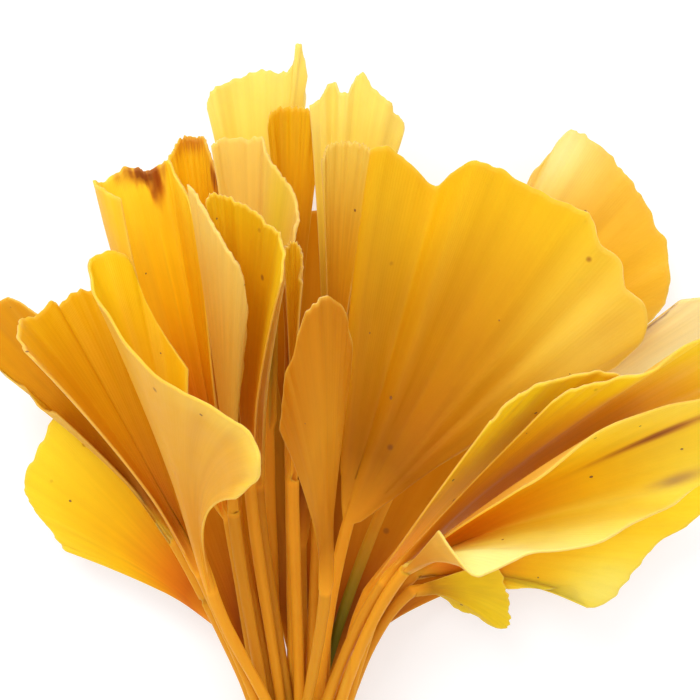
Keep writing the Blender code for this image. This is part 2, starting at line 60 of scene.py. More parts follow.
# The tie and the bundle of stalks, in millimetres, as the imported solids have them.
TIE_CENTRE = np.array([-11.6, -46.0, 6.8])
BUNDLE_DIRECTION = np.array([0.12, 1.0, 0.0])
STALK_RADIUS = 0.98
STALK_PITCH = 2.45
BUNDLE_ROWS = (6, 6, 6, 5, 5)
STALK_TAIL = 15.0
STRAIGHT_STALK = 2.2
BUNDLE_PULL = 0.4
TAIL_SPLAY = 0.17
TAIL_DROP = 0.25
STALK_ROWS = 8
TIE_WIDTH = 2.6
TIE_THICKNESS = 1.1
TIE_GAP = 0.35
TIE_SEGMENTS = 32
BLADE_THICKNESS = 0.42
BLADE_START = 0.14
BLADE_ROWS = 6
MANY_RIBS = 8

# How the leaves are laid one on another.
CELL = 0.3
CLEARANCE = 0.40
STALK_CLEARANCE = 0.15
FLOOR = -0.4
LAYING_ROUNDS = 26
SAMPLES_ALONG = 60
SAMPLES_ACROSS = 90
COVER_FACTOR = 4
STALK_SIDE_SAMPLES = np.array((-0.95, -0.7, -0.4, 0.0, 0.4, 0.7, 0.95))
GROUND_LOW = (-75.0, -75.0)
GROUND_HIGH = (75.0, 95.0)
GROUND_EDGE = 3
LEAST_LEVEL = 0.35
LEAD_BEND = 0.7

# The fine form of a leaf.
FINE_COLUMNS = 145
FINE_ROWS = 54
MIDDLE_COLUMNS = 49
MIDDLE_ROWS = 10
NARROW_COLUMNS = 17
NARROW_ROWS = 9
NARROW_END = 0.15
MIDDLE_END = 0.33
FLAT_FROM = 0.42
FIRST_ROWS = (0.04, 0.10, 0.15)
FIRST_ROW = 0.03
ROW_STEP = 0.01
FINE_HALF_THICKNESS = 0.15
THROAT_EXTRA = 0.22
THROAT_FADE = 0.6
RIM_BEAD = 0.05
RIM_THINNING = 0.55
RIM_WIDTHS = (0.025, 0.012, 0.006)
GIRTH_DIP = 0.10
GIRTH_WANDER = (0.05, 14)
FOOT_SHARE = 0.04
GROOVE_DEPTH = 0.05
GROOVES = 5
COCKLE_FROM = 0.25
RUFFLE_FROM = 0.80
COCKLE_KNOTS = (12, 30)
SMALL_COCKLE = 0.22
RUFFLE_KNOTS = 24
MARGIN_KNOTS = (40, 90)
MARGIN_DEPTHS = (0.50, 0.16)
STALK_SIDES = 16
STALK_STEPS = 44
TAIL_STEPS = 9

# The colours along a leaf: where the tint's colours lie, and the streaks, rim and cut end over them.
# The rise from darker colours by the stalk to lighter ones at the margin is partly the leaves' own colour
# and partly painted light: painted shade deep in the bunch, painted light where light shines through the
# upper parts of the blades.
TINT_PLACES = (-1.0, 0.0, 0.22, 0.62, 1.0)
STALK_TONES = (0.86, 0.16)
STREAK_STRENGTH = 0.022
STREAK_KNOTS = (46, 110)
PALE_STREAK = (1.0, 0.90, 0.55)
PALE_STRENGTH = 0.06
PALE_KNOTS = 26
MOTTLE_KNOTS = (33, 9)
MOTTLE_RANGE = (0.97, 0.06)
RAGGED_KNOTS = (60, 30)
RAGGED_GAIN = 2.2
RIM_SHARE = (0.012, 0.010)
RIM_START = 0.12
RIM_STRENGTH = 0.38
CUT_COLOUR = (0.55, 0.36, 0.14)
CUT_SHARE = 0.012
CUT_STRENGTH = 0.7

# The dry scabs: how flat they are, how their sizes vary, and how far out on the blade they start.
SCAB_SHAPE = (1.0, 0.8, 0.16)
SCAB_SCALES = (0.35, 1.0)
SCABS_FROM = 0.35


class Slot(Enum):
    """The record's material slots."""

    GOLDEN = "golden"
    PALE = "pale"
    TAN = "tan"
    AMBER = "amber"
    TWINE = "twine"


@dataclass(frozen=True)
class Patch:
    """A soft patch of another colour on a blade: some are the leaf's own marks, some are painted light or
    painted shade.

    Its middle and its half widths are shares of the way across the blade and along its ribs.
    """

    across: float
    along: float
    wide: float
    long: float
    colour: Colour
    strength: float = 1.0
    ragged: float = 0.0
    on_back: bool = False


@dataclass(frozen=True)
class Tint:
    """A leaf's colours near the stalk, in the middle and at the margin, on its two sides. Their darkening
    towards the stalk is partly painted shade, and their brightening towards the margin partly painted light.
    """

    front: tuple[Colour, Colour, Colour]
    back: tuple[Colour, Colour, Colour]
    stalk: Colour = (0.92, 0.62, 0.12)
    rim: Colour = (0.97, 0.76, 0.42)


@dataclass(frozen=True)
class LeafPlan:
    """One leaf: where its blade starts, where its ribs end, and how it is finished.

    The reach says how long a rib keeps near the stalk's way before it bends off, as a share of its
    length. The fan says how far it has turned to its own way by then, at the two side margins.
    """

    name: str
    base: Point
    tips: tuple[Point, ...]
    reach: float = 0.38
    fan: tuple[float, float] = (0.55, 0.55)
    slot: Slot = Slot.GOLDEN
    tint: Tint = None
    patches: tuple[Patch, ...] = ()
    cockle: float = 0.10
    ruffle: float = 0.22
    veins: int = 40
    scabs: int = 8
    swapped: bool = False


TAN_BACK = ((0.78, 0.50, 0.12), (0.86, 0.60, 0.20), (0.92, 0.68, 0.27))
PALE_BACK = ((0.82, 0.60, 0.18), (0.90, 0.70, 0.30), (0.94, 0.76, 0.40))
GOLDEN_TINT = Tint(((0.72, 0.42, 0.01), (0.87, 0.58, 0.02), (0.94, 0.70, 0.07)), TAN_BACK)
BRIGHT_TINT = Tint(((0.80, 0.42, 0.00), (0.96, 0.66, 0.02), (1.00, 0.79, 0.16)), TAN_BACK)
STRAW_TINT = Tint(((0.74, 0.42, 0.01), (0.88, 0.58, 0.02), (0.92, 0.66, 0.06)), TAN_BACK)
OLIVE_LEAF_TINT = Tint(((0.74, 0.42, 0.01), (0.84, 0.56, 0.02), (0.86, 0.66, 0.06)), TAN_BACK)
SHADED_TINT = Tint(((0.62, 0.34, 0.00), (0.72, 0.45, 0.00), (0.78, 0.52, 0.01)), TAN_BACK)
# Painted light: a golden tint brightened as far as it goes, for light on a leaf that lies in shade in the
# crease.
GOLD_PAINTED_LIGHT_TINT = Tint(((0.92, 0.56, 0.01), (1.00, 0.72, 0.04), (1.00, 0.80, 0.12)), TAN_BACK)
AMBER_TINT = Tint(((0.66, 0.35, 0.00), (0.80, 0.52, 0.01), (0.86, 0.62, 0.02)), TAN_BACK)
# Painted shade: the low leaves that fill the gaps between the stalks are given dark colours for the shade
# there.
UNDER_SHADE_TINT = Tint(((0.62, 0.33, 0.00), (0.76, 0.46, 0.01), (0.80, 0.52, 0.03)), TAN_BACK)
PALE_TINT = Tint(((0.78, 0.54, 0.06), (0.92, 0.74, 0.24), (0.97, 0.82, 0.42)), PALE_BACK)
CREAM_TINT = Tint(((0.86, 0.62, 0.26), (0.98, 0.82, 0.54), (1.0, 0.87, 0.64)), PALE_BACK)
TAN_TINT = Tint(((0.80, 0.52, 0.10), (0.88, 0.66, 0.25), (0.92, 0.74, 0.36)), PALE_BACK)
PEACH_TINT = Tint(((0.82, 0.52, 0.10), (0.84, 0.60, 0.18), (0.88, 0.66, 0.25)), TAN_BACK)
OLIVE_TINT = Tint(((0.70, 0.48, 0.02), (0.90, 0.71, 0.07), (0.93, 0.76, 0.13)), TAN_BACK)
FAN_TINT = Tint(((0.68, 0.42, 0.01), (0.73, 0.50, 0.02), (0.85, 0.66, 0.06)), TAN_BACK)
FOLD_TINT = Tint(((0.70, 0.40, 0.01), (0.80, 0.56, 0.08), (0.90, 0.74, 0.32)), TAN_BACK)
# Painted shade: the margin colour is darker than the middle, for shade over the top of the small front leaf.
OCHRE_TOP_SHADE_TINT = Tint(((0.72, 0.44, 0.01), (0.79, 0.52, 0.08), (0.73, 0.46, 0.03)), TAN_BACK)
CALLA_TINT = Tint(((0.72, 0.42, 0.01), (0.90, 0.62, 0.01), (0.94, 0.72, 0.05)),
                  ((0.82, 0.54, 0.08), (0.85, 0.59, 0.13), (0.86, 0.62, 0.17)))

# The leaves, from the lowest to the highest.
LEAVES = (
    # The low leaves below carry painted shade: dark colours for the shaded gaps deep in the bunch.
    LeafPlan("leaf_under_left", (-17, -35.5, 5), (
        (-42.5, 5, 0.4), (-38, 12, 0.4), (-33, 17.5, 0.4), (-27, 21, 0.4), (-20, 21, 0.4),
        (-9, 17.5, 0.6)),
        fan=(0.55, 1.2), slot=Slot.AMBER, tint=UNDER_SHADE_TINT),
    LeafPlan("leaf_under_low", (-4, -30, 5), (
        (27, 5.5, 0.4), (31, 1, 0.4), (33.5, -4.5, 0.4), (32.5, -9, 0.4), (29.5, -13.5, 0.4),
        (24.5, -16.5, 0.4)),
        slot=Slot.AMBER, tint=UNDER_SHADE_TINT),
    LeafPlan("leaf_under_middle", (-11.5, -31.5, 5.5), (
        (-24, 14, 1.2), (-18.5, 18, 1), (-12, 19.5, 1), (-4.5, 19.5, 1), (1.5, 17.5, 1), (8, 13.5, 1)),
        fan=(1.2, 0.8), slot=Slot.AMBER, tint=UNDER_SHADE_TINT),
    LeafPlan("leaf_under_right", (-6.5, -32.5, 6), (
        (-8, 13.5, 2.2), (0, 14.5, 2), (7.5, 14, 1.7), (14.5, 13, 1.4), (21, 10.5, 1.2), (26, 6.5, 1.3),
        (29.5, 2, 1.5)),
        slot=Slot.AMBER, tint=UNDER_SHADE_TINT),
    LeafPlan("leaf_under_centre", (-11, -12.5, 8), (
        (-19.5, 36, 8), (-15.5, 39, 8), (-11, 40, 8), (-5.5, 40, 8), (-1, 38, 8), (3.5, 34.5, 8)),
        slot=Slot.AMBER, tint=UNDER_SHADE_TINT),
    LeafPlan("leaf_left_bright", (-24, -24.5, 7), (
        (-39.5, 10.5, 12), (-44, 10, 13), (-48.5, 8.5, 13), (-52, 3, 11), (-54.5, -3, 9),
        (-52.5, -7.5, 8), (-49.5, -11.5, 7), (-48, -13.5, 6)),
        fan=(0.5, 0.8), tint=BRIGHT_TINT, swapped=True),
    LeafPlan("leaf_right_back", (4.5, -1, 8), (
        (24, 42.5, 8), (26, 46.5, 9), (28.5, 49.5, 9), (31, 52.5, 10), (33, 52, 10), (35, 50.5, 10),
        (38, 48, 9), (40, 45.5, 9), (42.5, 42.5, 8), (44.5, 38.5, 8), (46.5, 35, 7), (47, 31, 7),
        (47, 27, 6), (46, 24.5, 5), (44, 22.5, 4)),
        slot=Slot.PALE, tint=PEACH_TINT, patches=(
            Patch(0.25, 0.97, 0.16, 0.16, (0.98, 0.86, 0.58)),
            Patch(0.75, 0.8, 0.25, 0.4, (0.92, 0.66, 0.1), 0.7),
            Patch(0.5, -0.5, 5.0, 0.22, (0.38, 0.38, 0.04), 0.9, 0.0, True),
            Patch(0.5, -0.5, 5.0, 0.22, (0.38, 0.38, 0.04), 0.9))),
    LeafPlan("leaf_low_back", (7, -17, 8), (
        (57, -0.5, 9), (53.5, -6, 9), (49.5, -9.5, 8), (45, -12.5, 7), (41.5, -17, 6), (38, -21.5, 5),
        (34.5, -22.5, 5), (32, -19, 5), (29.5, -19.5, 6), (24.5, -19.5, 6), (21, -19.5, 6)),
        fan=(0.3, 0.8), slot=Slot.PALE, tint=BRIGHT_TINT, patches=(
            Patch(0.48, 0.97, 0.13, 0.2, (0.98, 0.86, 0.4)),)),
    LeafPlan("leaf_top_pale", (-16, 5.5, 10), (
        (-25.5, 55.5, 14), (-24.5, 58.5, 15), (-21.5, 60, 13), (-17, 61.5, 14), (-13.5, 61, 15),
        (-12, 62.5, 15), (-11, 65.5, 16), (-10, 60.5, 14), (-10.5, 56, 13)),
        reach=0.45, slot=Slot.PALE, tint=PALE_TINT),
    LeafPlan("leaf_left_back", (-30.5, -11.5, 13), (
        (-47, 21, 21), (-51.5, 24, 20), (-55.5, 26, 19), (-58.5, 24.5, 16), (-60, 21, 14),
        (-59.5, 17.5, 13), (-57.5, 15, 13), (-54, 12.5, 14), (-51, 9.5, 15), (-48.5, 8.5, 17)),
        fan=(0.3, 0.3), tint=SHADED_TINT, swapped=True),
    LeafPlan("leaf_low_olive", (6.5, -19.5, 9), (
        (20, -15, 9), (21.5, -19.5, 8), (22, -23, 6), (22, -25.5, 5), (20, -26, 5), (18, -24.5, 4),
        (15.5, -23.5, 4), (13.5, -22.5, 4)),
        fan=(0.5, 0.5), slot=Slot.AMBER, tint=OLIVE_TINT),
    LeafPlan("leaf_top_golden", (-12.5, 4, 11), (
        (-16, 52.5, 17), (-15.5, 54.5, 17), (-14, 55.5, 16), (-11.5, 55.5, 17), (-9.5, 55, 18),
        (-7.5, 52.5, 17)),
        reach=0.45, slot=Slot.AMBER, tint=AMBER_TINT),
    LeafPlan("leaf_upper_left_middle", (-21, -7, 11), (
        (-31, 47, 18), (-30.5, 49, 17), (-29, 51, 16), (-27, 51, 17), (-25.5, 50.5, 18),
        (-24.5, 47.5, 19), (-23, 42.5, 20)),
        reach=0.45, slot=Slot.PALE, tint=STRAW_TINT, patches=(
            Patch(0.9, 0.97, 0.07, 0.04, (0.45, 0.2, 0.03), 0.9, 0.5),
            Patch(0.45, 0.99, 0.3, 0.03, (0.66, 0.38, 0.05), 0.7, 0.8))),
    LeafPlan("leaf_top_right", (-7.5, 4, 12), (
        (-9.5, 55.5, 18), (-8, 56.5, 18), (-7, 58, 19), (-6, 59, 19), (-4.5, 57.5, 20), (-3.5, 57.5, 20),
        (-2.5, 59.5, 20), (-1.5, 60.5, 20), (0, 58.5, 20), (1.5, 57, 20), (3, 56, 20), (3.5, 54.5, 19),
        (5, 53, 18), (4, 49.5, 17)),
        reach=0.45, slot=Slot.PALE, tint=PALE_TINT),
    LeafPlan("leaf_cream_lobe", (4.5, -14.5, 12), (
        (40.5, 19.5, 24), (42.5, 22, 25), (44, 23.5, 27), (46, 25.5, 28), (49, 26, 28), (51, 24.5, 27),
        (51.5, 21.5, 24), (50.5, 18.5, 21), (48, 15.5, 18), (44.5, 13, 15)),
        fan=(0.4, 0.4), slot=Slot.PALE, tint=CREAM_TINT),
    LeafPlan("leaf_upper_left", (-22, -8, 13), (
        (-37.5, 40.5, 30), (-40, 42, 28.5), (-42, 43.5, 25), (-40.5, 44, 21), (-38, 46, 20),
        (-35.5, 46, 20), (-34, 45.5, 20), (-32, 46.5, 21), (-31, 47, 21), (-29, 44, 23), (-27, 39.5, 25),
        (-25.5, 35, 27)),
        reach=0.5, fan=(2.0, 0.55), tint=BRIGHT_TINT, patches=(
            Patch(0.5, 0.99, 0.15, 0.035, (0.4, 0.14, 0.03), 1.0, 1.1),
            Patch(0.58, 0.95, 0.06, 0.05, (0.5, 0.2, 0.03), 0.8, 1.3),
            Patch(0.05, 0.95, 0.1, 0.3, (1.0, 0.76, 0.14), 0.95, 0.0, True))),
    LeafPlan("leaf_upper_middle", (-17.5, -3, 14), (
        (-24, 49, 26), (-22.5, 50, 25), (-19, 50, 25), (-16.5, 50, 26), (-15.5, 47.5, 27), (-14, 45, 28),
        (-12.5, 43, 29), (-11, 39.5, 31), (-11, 37, 32), (-12, 33.5, 32)),
        reach=0.45, slot=Slot.TAN, tint=TAN_TINT, patches=(
            Patch(0.62, 0.8, 0.14, 0.3, (0.86, 0.74, 0.16), 0.8),)),
    LeafPlan("leaf_middle_right", (-6.5, 2.5, 14), (
        (-7.5, 46.5, 26), (-6.5, 49, 26), (-4, 49.5, 26), (-1.5, 49, 27), (0.5, 47.5, 28)),
        reach=0.45, slot=Slot.AMBER, tint=FOLD_TINT),
    LeafPlan("leaf_middle_narrow", (-12, -2, 18), (
        (-13, 32.5, 36), (-12, 34, 36), (-10.5, 33, 36), (-10.5, 27.5, 34)),
        reach=0.5, fan=(0.3, 0.3), tint=GOLDEN_TINT),
    LeafPlan("leaf_inner_left", (-18.5, -2.5, 20), (
        (-24.5, 40, 36), (-23.5, 41, 36), (-22, 41, 36), (-20, 40, 37), (-17.5, 38.5, 38),
        (-15.5, 36.5, 40), (-13.5, 35, 43), (-12.5, 32, 46), (-13, 28, 47)),
        reach=0.45, slot=Slot.AMBER, tint=OLIVE_LEAF_TINT, patches=(
            Patch(0.9, 0.8, 0.1, 0.45, (0.97, 0.76, 0.1), 0.9),)),
    LeafPlan("leaf_rolled_tan", (-21, -6.5, 21), (
        (-27, 42.5, 36), (-25.5, 40.5, 39), (-24, 38, 41), (-22, 34.5, 43), (-20, 31.5, 44),
        (-18.6, 28.5, 43), (-18.2, 24, 39.5), (-18.6, 19, 35), (-19.4, 15, 31.5), (-20.6, 11, 29)),
        reach=0.45, slot=Slot.TAN, tint=TAN_TINT, patches=(
            # Painted light: a yellow band on the curled right side, for light shining through it.
            Patch(0.95, 0.7, 0.16, 0.5, (0.98, 0.78, 0.08), 0.9),)),
    LeafPlan("leaf_big_fan", (-3.5, -8, 21), (
        (2.5, 46.5, 31), (1, 47.5, 33), (0, 47.5, 35), (2, 48, 36), (4, 47, 35), (6.5, 45, 33),
        (9.5, 42.5, 31), (12, 44.5, 33), (15, 46, 35), (17, 45.5, 35), (19.5, 44.5, 34), (23, 42.5, 33),
        (26, 41, 34), (30, 39.3, 35), (32.3, 37.5, 35), (33.3, 34.2, 35), (36.4, 31.6, 34),
        (37.3, 27.4, 34), (40.3, 25, 33), (40.8, 21, 31.5), (39.3, 18.5, 30), (36.5, 15.5, 28)),
        reach=0.42, fan=(1.8, 0.9), tint=FAN_TINT, scabs=22, patches=(
            Patch(0.86, 0.88, 0.16, 0.3, (0.95, 0.78, 0.34), 0.9),
            Patch(0.3, 0.97, 0.26, 0.16, (0.93, 0.67, 0.06), 0.8),
            Patch(0.04, 0.7, 0.07, 0.55, (0.9, 0.62, 0.04), 0.8))),
    # Painted light: this leaf's brightened tint stands for light on its band, which lies in shade.
    LeafPlan("leaf_lower_golden", (-0.5, -19, 19), (
        (16.5, 8, 49), (19.5, 11, 49), (23, 13, 48), (28, 14.3, 46), (33.5, 15, 44), (38, 13, 41),
        (38.5, 10.5, 38), (37.5, 7.5, 35)),
        fan=(0.8, 0.4), tint=GOLD_PAINTED_LIGHT_TINT),
    # Painted light: the golden tint and the bright patch along its rim brighten this leaf, which lies in
    # shade in the crease.
    LeafPlan("leaf_lower_cup", (2, -16.5, 25), (
        (25.5, 11, 49), (29, 13, 50), (33.5, 14, 49), (39.5, 15.5, 47), (44.5, 18.5, 45), (49, 20.5, 41),
        (52.5, 20.5, 38), (54, 17.5, 34), (53.5, 14, 31), (51.5, 11, 29)),
        fan=(0.5, 0.4), slot=Slot.AMBER, tint=GOLDEN_TINT, patches=(
            Patch(0.45, 1.0, 0.5, 0.22, (1.0, 0.78, 0.1), 0.95),)),
    LeafPlan("leaf_left_rolled", (-26, -16, 20), (
        (-49, 17, 40), (-51, 18.5, 37), (-52.5, 21, 32), (-52.5, 23, 28), (-50.5, 23.5, 25),
        (-48.5, 25.5, 23), (-47.5, 25, 22), (-45.5, 27, 21), (-43, 27.5, 20), (-40.5, 27.5, 19),
        (-38, 25.5, 18)),
        fan=(0.4, 0.3), tint=AMBER_TINT, patches=(
            Patch(0.06, 0.95, 0.08, 0.6, (0.94, 0.68, 0.34), 0.9),)),
    LeafPlan("leaf_lower_bright", (5, -14.5, 29), (
        (21, -1.5, 49), (24, 0.5, 51), (31.5, 6.5, 52), (39, 9.5, 50), (46.5, 11, 47), (52, 11, 43),
        (54.5, 7.5, 39), (54, 3.5, 36), (50.5, 0, 34), (46.5, -3, 34), (42, -5.5, 37), (37, -7.5, 40),
        (32.5, -9.5, 43), (26.5, -10.5, 46), (21.5, -11, 48), (16.5, -13.5, 49), (14.5, -13.5, 49),
        (12.5, -12, 48), (10.5, -9.5, 47), (9.5, -7.5, 46)),
        fan=(0.5, 0.5), tint=BRIGHT_TINT, patches=(
            Patch(0.27, 0.8, 0.01, 0.14, (0.42, 0.17, 0.02), 0.9, 0.3),
            Patch(0.42, 0.9, 0.025, 0.06, (0.55, 0.4, 0.22), 0.9, 0.3),
            # Painted light: a pale yellow glow on the flap by the near margin, for light shining through it.
            Patch(0.78, 0.85, 0.3, 0.85, (1.0, 1.0, 0.62)))),
    LeafPlan("leaf_calla", (-24, -18, 26), (
        (-19, -2.5, 57), (-17, -0.5, 61), (-15.5, 1.5, 64), (-15.5, 4, 65), (-17, 7, 64), (-19.5, 9, 63),
        (-22.5, 10.8, 62), (-26.5, 12.6, 60), (-30.7, 15, 58), (-34.3, 18.7, 54), (-37.6, 23, 49),
        (-40, 26.5, 44), (-41, 29, 39), (-41.5, 31, 35), (-40.5, 32.5, 32), (-38.5, 33, 31),
        (-36.5, 32, 30), (-35, 29, 30), (-33, 24.5, 31), (-30.3, 20, 32), (-27, 15.5, 34)),
        reach=0.5, fan=(0.1, 0.1), slot=Slot.TAN, tint=CALLA_TINT, patches=(
            Patch(0.14, 0.98, 0.2, 0.06, (0.97, 0.77, 0.28), 0.85, 0.0, True),)),
    # Its tint darkens towards the margin: painted shade at its top.
    LeafPlan("leaf_front_small", (-7, -18, 27), (
        (-13.5, 7, 38), (-13, 11.5, 42), (-12.5, 15, 45), (-11.5, 17.5, 47), (-10, 22.5, 50),
        (-8, 25, 51), (-6.5, 26, 50), (-4.5, 24.5, 47), (-3.5, 21, 43), (-3.5, 15.5, 37), (-4.5, 9.5, 32)),
        reach=0.4, fan=(0.4, 0.4), tint=OCHRE_TOP_SHADE_TINT),
)


def unit(vector: np.ndarray) -> np.ndarray:
    """The vector, or each row of vectors, at length one."""
    return vector / np.maximum(np.linalg.norm(vector, axis=-1, keepdims=True), 1e-12)


AXIS = unit(BUNDLE_DIRECTION)
RIGHT = unit(np.cross(AXIS, (0.0, 0.0, 1.0)))
UP = np.cross(RIGHT, AXIS)


def smooth_through(points: np.ndarray, places: np.ndarray) -> np.ndarray:
    """A smooth curve through points.

    Args:
        points: the points, one a row.
        places: where to read the curve, from 0 at the first point to 1 at the last.

    Returns:
        One row for each place.
    """
    last = len(points) - 1
    padded = np.vstack([2 * points[0] - points[1], points, 2 * points[-1] - points[-2]])
    where = np.clip(places, 0.0, 1.0) * last
    index = np.minimum(where.astype(int), last - 1)
    f = (where - index)[:, None]
    a, b, c, d = (padded[index + k] for k in range(4))
    return 0.5 * (2 * b + (c - a) * f + (2 * a - 5 * b + 4 * c - d) * f**2 + (3 * (b - c) + d - a) * f**3)


def smooth_step(value: np.ndarray) -> np.ndarray:
    """An even rise from 0 to 1 as the value goes from 0 to 1."""
    clipped = np.clip(value, 0.0, 1.0)
    return clipped * clipped * (3 - 2 * clipped)


def wandering(places: np.ndarray, count: int, random: np.random.Generator) -> np.ndarray:
    """A smooth random line between -1 and 1 with a given number of knots."""
    knots = random.uniform(-1, 1, (count + 1, 1))
    return smooth_through(knots, places)[:, 0]


def linear(colour: np.ndarray) -> np.ndarray:
    """Display colours as the renderer's linear ones."""
    c = np.clip(np.asarray(colour, float), 0, 1)
    return np.where(c <= 0.04045, c / 12.92, ((c + 0.055) / 1.055) ** 2.4)


def bell(value: np.ndarray) -> np.ndarray:
    """A smooth bump: 1 at zero, fading within a few units either way."""
    return np.exp(-value ** 2)


def blend(colour: np.ndarray, other: Colour, amount: np.ndarray) -> np.ndarray:
    """Colours moved towards another one, each by its own amount."""
    return colour + amount[:, None] * (np.array(other) - colour)


def ring_way(angle: np.ndarray) -> np.ndarray:
    """The ways out from the bundle's axis at angles round it."""
    return np.cos(angle)[:, None] * RIGHT + np.sin(angle)[:, None] * UP


def in_scene(name: str, data: bpy.types.ID) -> bpy.types.Object:
    """A new object in the scene."""
    made = bpy.data.objects.new(name, data)
    bpy.context.scene.collection.objects.link(made)
    return made


def bundle_slots(plans: tuple[LeafPlan, ...]) -> dict[str, np.ndarray]:
    """Each leaf's place in the bundle at the tie, so that the stalks keep their order."""
    slots = {}
    first = 0
    middle_row = (len(BUNDLE_ROWS) - 1) / 2
    for row, count in enumerate(BUNDLE_ROWS):
        level = list(plans[first:first + count])
        level.sort(key=lambda leaf: (leaf.base[0] - TIE_CENTRE[0]) / (leaf.base[1] - TIE_CENTRE[1]))
        for column, leaf in enumerate(level):
            across = (column - (len(level) - 1) / 2) * STALK_PITCH
            height = (row - middle_row) * STALK_PITCH * np.sqrt(0.75)
            slots[leaf.name] = TIE_CENTRE + RIGHT * across + UP * height
        first += count
    return slots


def refine(lift: np.ndarray, rows: int, columns: int) -> np.ndarray:
    """Bilinear reading of a coarse grid of lifts at a finer grid of places."""
    y = np.linspace(0, lift.shape[0] - 1, rows)
    x = np.linspace(0, lift.shape[1] - 1, columns)
    i = np.minimum(y.astype(int), lift.shape[0] - 2)
    j = np.minimum(x.astype(int), lift.shape[1] - 2)
    fy, fx = (y - i)[:, None], (x - j)[None, :]
    low = lift[i][:, j] * (1 - fx) + lift[i][:, j + 1] * fx
    high = lift[i + 1][:, j] * (1 - fx) + lift[i + 1][:, j + 1] * fx
    return low * (1 - fy) + high * fy


def relax(lift: np.ndarray) -> np.ndarray:
    """Even out the lifts, leaving each at least half of what it was."""
    padded = np.pad(lift, 1, mode="edge")
    around = (padded[:-2, 1:-1] + padded[2:, 1:-1] + padded[1:-1, :-2] + padded[1:-1, 2:]) / 4
    return 0.5 * (lift + around)


def sheet_normals(sheet: np.ndarray) -> np.ndarray:
    """The normals of a grid of points, on its upper side."""
    return unit(np.cross(np.gradient(sheet, axis=1), np.gradient(sheet, axis=0)))


def slope_factor(sheet: np.ndarray) -> np.ndarray:
    """How much further apart in height two sloping sheets lie than two level ones."""
    level = np.abs(sheet_normals(sheet)[..., 2])
    return 1.0 / np.maximum(level, LEAST_LEVEL)


class Ground:
    """The height of what already lies on the surface, cell by cell."""

    def __init__(self) -> None:
        """Start with the bare surface."""
        self.low = np.array(GROUND_LOW)
        self.shape = tuple(np.ceil((np.array(GROUND_HIGH) - self.low) / CELL).astype(int) + 1)
        self.height = np.full(self.shape, FLOOR)

    def cells(self, points: np.ndarray) -> tuple[np.ndarray, np.ndarray]:
        """The cell under each point."""
        place = np.round((points[..., :2] - self.low) / CELL).astype(int)
        last = np.array(self.shape) - 1 - GROUND_EDGE
        place = np.clip(place, GROUND_EDGE, last)
        return place[..., 0], place[..., 1]

    def under(self, points: np.ndarray, margin: int = 2) -> np.ndarray:
        """The greatest height round each point, within a margin counted in cells."""
        i, j = self.cells(points)
        steps = (-margin, 0, margin) if margin else (0,)
        return np.max([self.height[i + a, j + b] for a in steps for b in steps], axis=0)

    def cover(self, points: np.ndarray) -> None:
        """Raise the ground to the points."""
        np.maximum.at(self.height, self.cells(points), points[..., 2])


